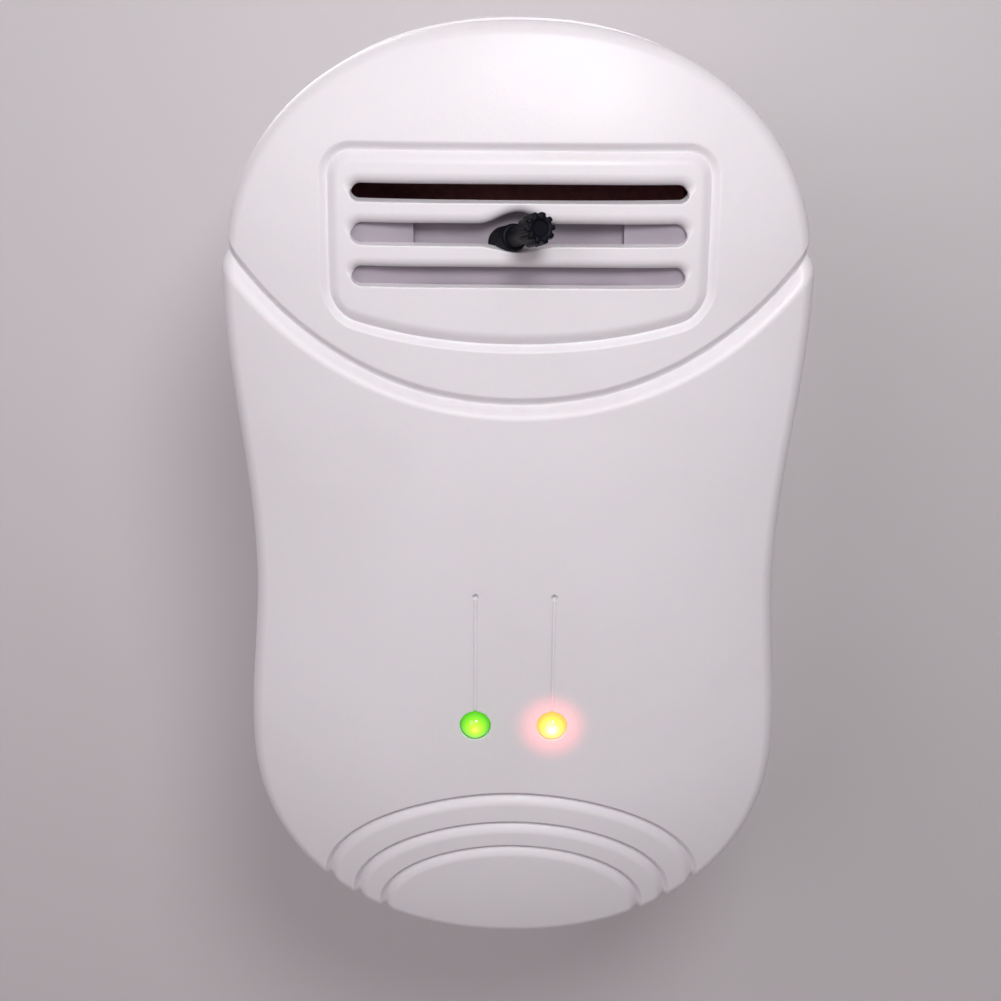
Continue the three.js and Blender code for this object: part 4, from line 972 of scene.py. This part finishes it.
def round_glow():
    """Light that fades out round a centre, from 1 at radius Inner to 0 at radius Outer."""
    inputs = [("Vector", "Vector"), ("Centre", "Vector")]
    inputs += [("Inner", "Float", 0.0015), ("Outer", "Float", 0.004)]
    tree, start, end = effect("round_glow", inputs, [("Mask", "Float")])
    ends = {0: start.outputs["Vector"], 1: start.outputs["Centre"]}
    gap = put(tree, "VectorMath", ends, operation="SUBTRACT")
    flat = put(tree, "VectorMath", {0: gap.outputs[0], 1: (1, 0, 1)}, operation="MULTIPLY").outputs[0]
    length = put(tree, "VectorMath", {0: flat}, operation="LENGTH").outputs["Value"]
    span = maths(tree, "SUBTRACT", start.outputs["Outer"], start.outputs["Inner"])
    share = maths(tree, "DIVIDE", maths(tree, "SUBTRACT", start.outputs["Outer"], length), span, clamp=True)
    tree.links.new(maths(tree, "POWER", share, 2.0), end.inputs["Mask"])
    return tree


EFFECTS = {made.name: made for made in (moulded_grain(), handling(), settled_dust(), round_glow())}


class Finish:
    """A material being made: its tree, its Principled shader and its object coordinates."""

    def __init__(self, name, **values):
        self.material = bpy.data.materials.new(name)
        self.material.use_nodes = True
        self.tree = self.material.node_tree
        self.shader = self.tree.nodes["Principled BSDF"]
        self.set(**values)
        self.coordinates = put(self.tree, "TexCoord").outputs["Object"]

    def set(self, **values):
        for key, value in values.items():
            socket = self.shader.inputs[key.replace("_", " ").title().replace("Ior", "IOR")]
            if isinstance(value, bpy.types.NodeSocket):
                self.tree.links.new(value, socket)
            else:
                socket.default_value = (*value, 1) if isinstance(value, tuple) else value

    def add(self, name, output=None, **inputs):
        """One of the shared effects, with its own values."""
        made = put(self.tree, "Group", node_tree=EFFECTS[name])
        self.tree.links.new(self.coordinates, made.inputs["Vector"])
        for key, value in inputs.items():
            made.inputs[key.title()].default_value = value
        return made.outputs[output or 0]

    def blend(self, mask, one, other, mode="MIX"):
        """Colour one where the mask is 0, and the other where it is 1."""
        made = put(self.tree, "Mix", {"Factor": mask}, data_type="RGBA", blend_type=mode)
        for socket, value in ((made.inputs[6], one), (made.inputs[7], other)):
            if isinstance(value, bpy.types.NodeSocket):
                self.tree.links.new(value, socket)
            else:
                socket.default_value = (*value, 1)
        return made.outputs[2]

    def between(self, mask, low, high):
        return ranged(self.tree, mask, 0.0, 1.0, low, high)

    def bump(self, height, depth, strength=1.0):
        """A bump of that depth in millimetres."""
        inputs = {"Height": height, "Distance": depth * MM, "Strength": strength}
        self.set(normal=put(self.tree, "Bump", inputs).outputs["Normal"])


def case_centre(x, z):
    return (x * MM, 0, (z + CASE_MIDDLE) * MM)


def case_plastic():
    made = Finish("white_case_plastic", specular_ior_level=0.42)
    made.set(subsurface_weight=0.08, subsurface_scale=0.001)
    grain = made.add("moulded_grain", "Height", scale=4200.0, coarse=0.45)
    touched = made.add("handling", scale=45.0)
    dust = made.add("settled_dust", scale=700.0)
    clean = made.blend(touched, (0.80, 0.775, 0.80), (0.775, 0.745, 0.765))
    made.set(
        base_color=made.blend(made.between(dust, 0, 0.12), clean, (0.55, 0.5, 0.47)),
        roughness=made.between(touched, 0.46, 0.38),
    )
    made.bump(grain, 0.03, 0.7)
    # Painted light: a pink glow round the red lamp, painted as emission on the front face of the case; the lamp itself
    # does not light it.
    painted_halo = made.add("round_glow", centre=case_centre(LAMP_X, LAMP_LEVEL), inner=0.0013, outer=0.0046)
    depth = put(made.tree, "SeparateXYZ", {"Vector": made.coordinates}).outputs["Y"]
    on_face = ranged(made.tree, depth, -0.031, -0.029, 1.0, 0.0)
    painted_halo = maths(made.tree, "MULTIPLY", painted_halo, on_face)
    made.set(emission_color=made.blend(painted_halo, (0, 0, 0), (1.0, 0.14, 0.17)), emission_strength=0.95)
    return made.material


def worn(name, colour, other, rough, touch, grain, depth, **values):
    """A finish whose colour and roughness run to the second ones in touched patches."""
    made = Finish(name, **values)
    touched = made.add("handling", scale=touch)
    made.set(base_color=made.blend(touched, colour, other), roughness=made.between(touched, *rough))
    made.bump(made.add("moulded_grain", "Height", scale=grain), depth)
    return made.material


def shaded(colour, share):
    return tuple(value * share for value in colour)


def black_plastic(name, colour, gloss, shine=0.3, dusty=0.04):
    made = Finish(name, specular_ior_level=shine)
    touched = made.add("handling", scale=500.0)
    dust = made.add("settled_dust", scale=1500.0)
    clean = made.blend(touched, colour, shaded(colour, 1.6))
    made.set(
        base_color=made.blend(made.between(dust, 0, dusty), clean, (0.3, 0.28, 0.26)),
        roughness=made.between(touched, gloss, gloss + 0.12),
    )
    made.bump(made.add("moulded_grain", "Height", scale=6000.0), 0.008)
    return made.material


def plated_metal(name, colour, rough):
    darker = shaded(colour, 0.82)
    return worn(name, colour, darker, (rough, rough + 0.14), 300.0, 9000.0, 0.003, metallic=1.0)


def dipped(name, colour, rough=0.35):
    """Lacquer, sleeving or resin on a small component."""
    return worn(name, colour, shaded(colour, 0.8), (rough, rough + 0.15), 700.0, 5000.0, 0.006)


def lamp_lens(name, x, body, rim, ring, heart, strength):
    """A lit lamp: its colour runs from the rim through a ring to the bright heart."""
    made = Finish(name, roughness=0.12, coat_weight=0.4, specular_ior_level=0.5)
    centre = case_centre(x, LAMP_LEVEL)
    wide = made.add("round_glow", centre=centre, inner=0.0008, outer=0.0019)
    tight = made.add("round_glow", centre=centre, inner=0.0001, outer=0.0011)
    glow = made.blend(tight, made.blend(wide, rim, ring), heart)
    made.set(base_color=made.blend(wide, body, ring), emission_color=glow, emission_strength=strength)
    return made.material


white = case_plastic()
lilac = worn("plate_plastic", (0.37, 0.325, 0.375), (0.335, 0.295, 0.345), (0.5, 0.42), 120.0, 3000.0, 0.012,
             specular_ior_level=0.45)
laminate = worn("board_laminate", (0.5, 0.17, 0.18), (0.4, 0.13, 0.14), (0.55, 0.4), 900.0, 2500.0, 0.02,
                specular_ior_level=0.4)
satin_black = black_plastic("shaft_plastic", (0.002, 0.0024, 0.005), 0.42, 0.12, 0.006)
moulding_black = black_plastic("component_black", (0.012, 0.012, 0.013), 0.4)
sleeve_black = black_plastic("sleeve_plastic", (0.015, 0.015, 0.016), 0.38)
zinc = plated_metal("zinc_plate", (0.62, 0.62, 0.64), 0.3)
nickel = plated_metal("nickel_plate", (0.78, 0.74, 0.66), 0.2)
can = plated_metal("aluminium_can", (0.72, 0.72, 0.74), 0.35)
film_yellow = dipped("film_capacitor_yellow", (0.7, 0.42, 0.04))
sleeve_blue = dipped("capacitor_blue", (0.03, 0.07, 0.25))
lacquer = dipped("resistor_lacquer", (0.55, 0.38, 0.18))
insulation = dipped("wire_insulation", (0.15, 0.05, 0.02), 0.45)
paper = worn("blank_label", (0.78, 0.78, 0.77), (0.72, 0.71, 0.7), (0.4, 0.5), 80.0, 7000.0, 0.004,
             coat_weight=0.15)
lit_green = lamp_lens("green_lamp_lit", -LAMP_X, (0.04, 0.3, 0.01),
                      (0.02, 0.28, 0.005), (0.26, 0.8, 0.02), (0.85, 1.0, 0.12), 1.0)
lit_red = lamp_lens("red_lamp_lit", LAMP_X, (0.6, 0.15, 0.04),
                    (0.9, 0.2, 0.04), (1.0, 0.68, 0.08), (1.0, 0.97, 0.85), 1.6)

SLOT_FINISH = {
    "case": white, "plate": lilac, "board": laminate, "green_lamp": lit_green, "red_lamp": lit_red,
    "black": moulding_black, "steel": zinc, "can": can, "brass": nickel, "yellow": film_yellow,
    "blue": sleeve_blue, "cream": lacquer, "brown": insulation, "label": paper,
}


def dress(piece, slot, body, *nodes, finish=None):
    """Gives a new piece its finish and its place on a body, and the CAD nodes that it stands for."""
    piece.data.materials.clear()
    piece.data.materials.append(finish or SLOT_FINISH[slot])
    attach(piece, body)
    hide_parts(*nodes)


dress(front_cover, "case", "housing", "front_cover")
dress(rear_cover, "case", "housing", "rear_cover")
dress(label, "label", "housing", "rating_label")
dress(green_lamp, "green_lamp", "housing", "green_led")
dress(red_lamp, "red_lamp", "housing", "red_led")
dress(plate, "plate", "housing", "grille_plate")
dress(shaft, "black", "adjuster", "trimmer_shaft", finish=satin_black)
for number, screw in enumerate(case_screws, 1):
    dress(screw, "steel", "housing", f"case_screw_{number}")
for side, pin, sleeve in zip(("left", "right"), pins, sleeves):
    dress(pin, "brass", "housing", f"plug_pin_{side}")
    dress(sleeve, "black", "housing", f"pin_sleeve_{side}", finish=sleeve_black)
for part in frame["record"]["subparts"]:
    node = frame["nodes"][part["node"]]
    if not node.hide_render:
        node.data.materials.clear()
        node.data.materials.append(SLOT_FINISH[part["material_slot"]])


# ---- Stage, light and camera ----
def backdrop_paint():
    """Pale paint, clear from behind and casting no shadow, so that the object is seen from any side."""
    made = Finish("backdrop_paint", base_color=(0.7, 0.67, 0.68), roughness=0.8, specular_ior_level=0.2)
    tree = made.tree
    clear = maths(tree, "MAXIMUM", put(tree, "NewGeometry").outputs["Backfacing"],
                  put(tree, "LightPath").outputs["Is Shadow Ray"])
    inputs = {0: clear, 1: made.shader.outputs[0], 2: put(tree, "BsdfTransparent").outputs[0]}
    tree.links.new(put(tree, "MixShader", inputs).outputs[0], tree.nodes["Material Output"].inputs["Surface"])
    return made.material


def build_backdrop():
    """A wall behind the pins that sweeps forward into a floor."""
    wall_y, floor_z, sweep, reach = 0.0202, -0.26, 0.12, 1.6
    deselect()
    bpy.ops.mesh.primitive_plane_add(size=1)
    backdrop = bpy.context.object
    corners = [(x, wall_y, z) for z in (reach, floor_z + sweep) for x in (-reach, reach)]
    for vertex, corner in zip(backdrop.data.vertices, corners):
        vertex.co = corner
    bpy.ops.object.mode_set(mode="EDIT")
    bpy.ops.mesh.select_mode(type="EDGE")
    bpy.ops.mesh.select_all(action="DESELECT")
    bpy.ops.object.mode_set(mode="OBJECT")
    for edge in backdrop.data.edges:
        edge.select = all(abs(backdrop.data.vertices[k].co.z - floor_z - sweep) < 1e-6 for k in edge.vertices)
    bpy.ops.object.mode_set(mode="EDIT")
    place = (wall_y, floor_z + sweep)
    for k in range(1, 17):
        angle = math.pi / 2 * k / 16
        ahead = (wall_y - sweep * (1 - math.cos(angle)), floor_z + sweep * (1 - math.sin(angle)))
        move = (0, ahead[0] - place[0], ahead[1] - place[1])
        bpy.ops.mesh.extrude_edges_move(TRANSFORM_OT_translate={"value": move})
        place = ahead
    bpy.ops.mesh.extrude_edges_move(TRANSFORM_OT_translate={"value": (0, -reach, 0)})
    bpy.ops.object.mode_set(mode="OBJECT")
    backdrop.name = "backdrop"
    for face in backdrop.data.polygons:
        face.use_smooth = True
    if backdrop.data.polygons[0].normal.y > 0:
        backdrop.data.flip_normals()
    backdrop.data.materials.append(backdrop_paint())


def soft_light(name, place, aim, size, power, colour=(1, 1, 1)):
    lamp = bpy.data.lights.new(name, "AREA")
    lamp.shape, lamp.size, lamp.energy, lamp.color = "DISK", size, power, colour
    light = bpy.data.objects.new(name, lamp)
    light.location = place
    light.rotation_euler = (Vector(aim) - Vector(place)).to_track_quat("-Z", "Y").to_euler()
    bpy.context.scene.collection.objects.link(light)


def set_up_light():
    soft_light("key_light", (0.024, -0.185, 0.11), (0, -0.03, 0.0), 0.06, 0.225, (0.99, 0.985, 1.0))
    soft_light("fill_light", (-0.25, -0.4, 0.2), (0, -0.02, -0.01), 0.3, 0.5, (1.0, 0.96, 0.985))
    soft_light("back_light", (-0.25, 0.4, 0.25), (0, 0, -0.01), 0.3, 1.2)
    world = bpy.data.worlds.new("studio")
    world.use_nodes = True
    world.node_tree.nodes["Background"].inputs["Color"].default_value = (1.0, 0.93, 0.97, 1)
    world.node_tree.nodes["Background"].inputs["Strength"].default_value = 0.27
    bpy.context.scene.world = world
    bpy.context.scene.view_settings.view_transform = "Standard"


def set_up_camera():
    lens = bpy.data.cameras.new("camera")
    lens.sensor_width, lens.lens, lens.clip_start = 36, 36 * 1500 / 1001, 0.01
    camera = bpy.data.objects.new("camera", lens)
    turn = Matrix.Rotation(math.radians(70), 4, "X") @ Matrix.Rotation(math.radians(0.43), 4, "Z")
    camera.matrix_world = Matrix.Translation((-0.0015, -0.17173, 0.0385)) @ turn
    bpy.context.scene.collection.objects.link(camera)
    bpy.context.scene.camera = camera


build_backdrop()
set_up_light()
set_up_camera()
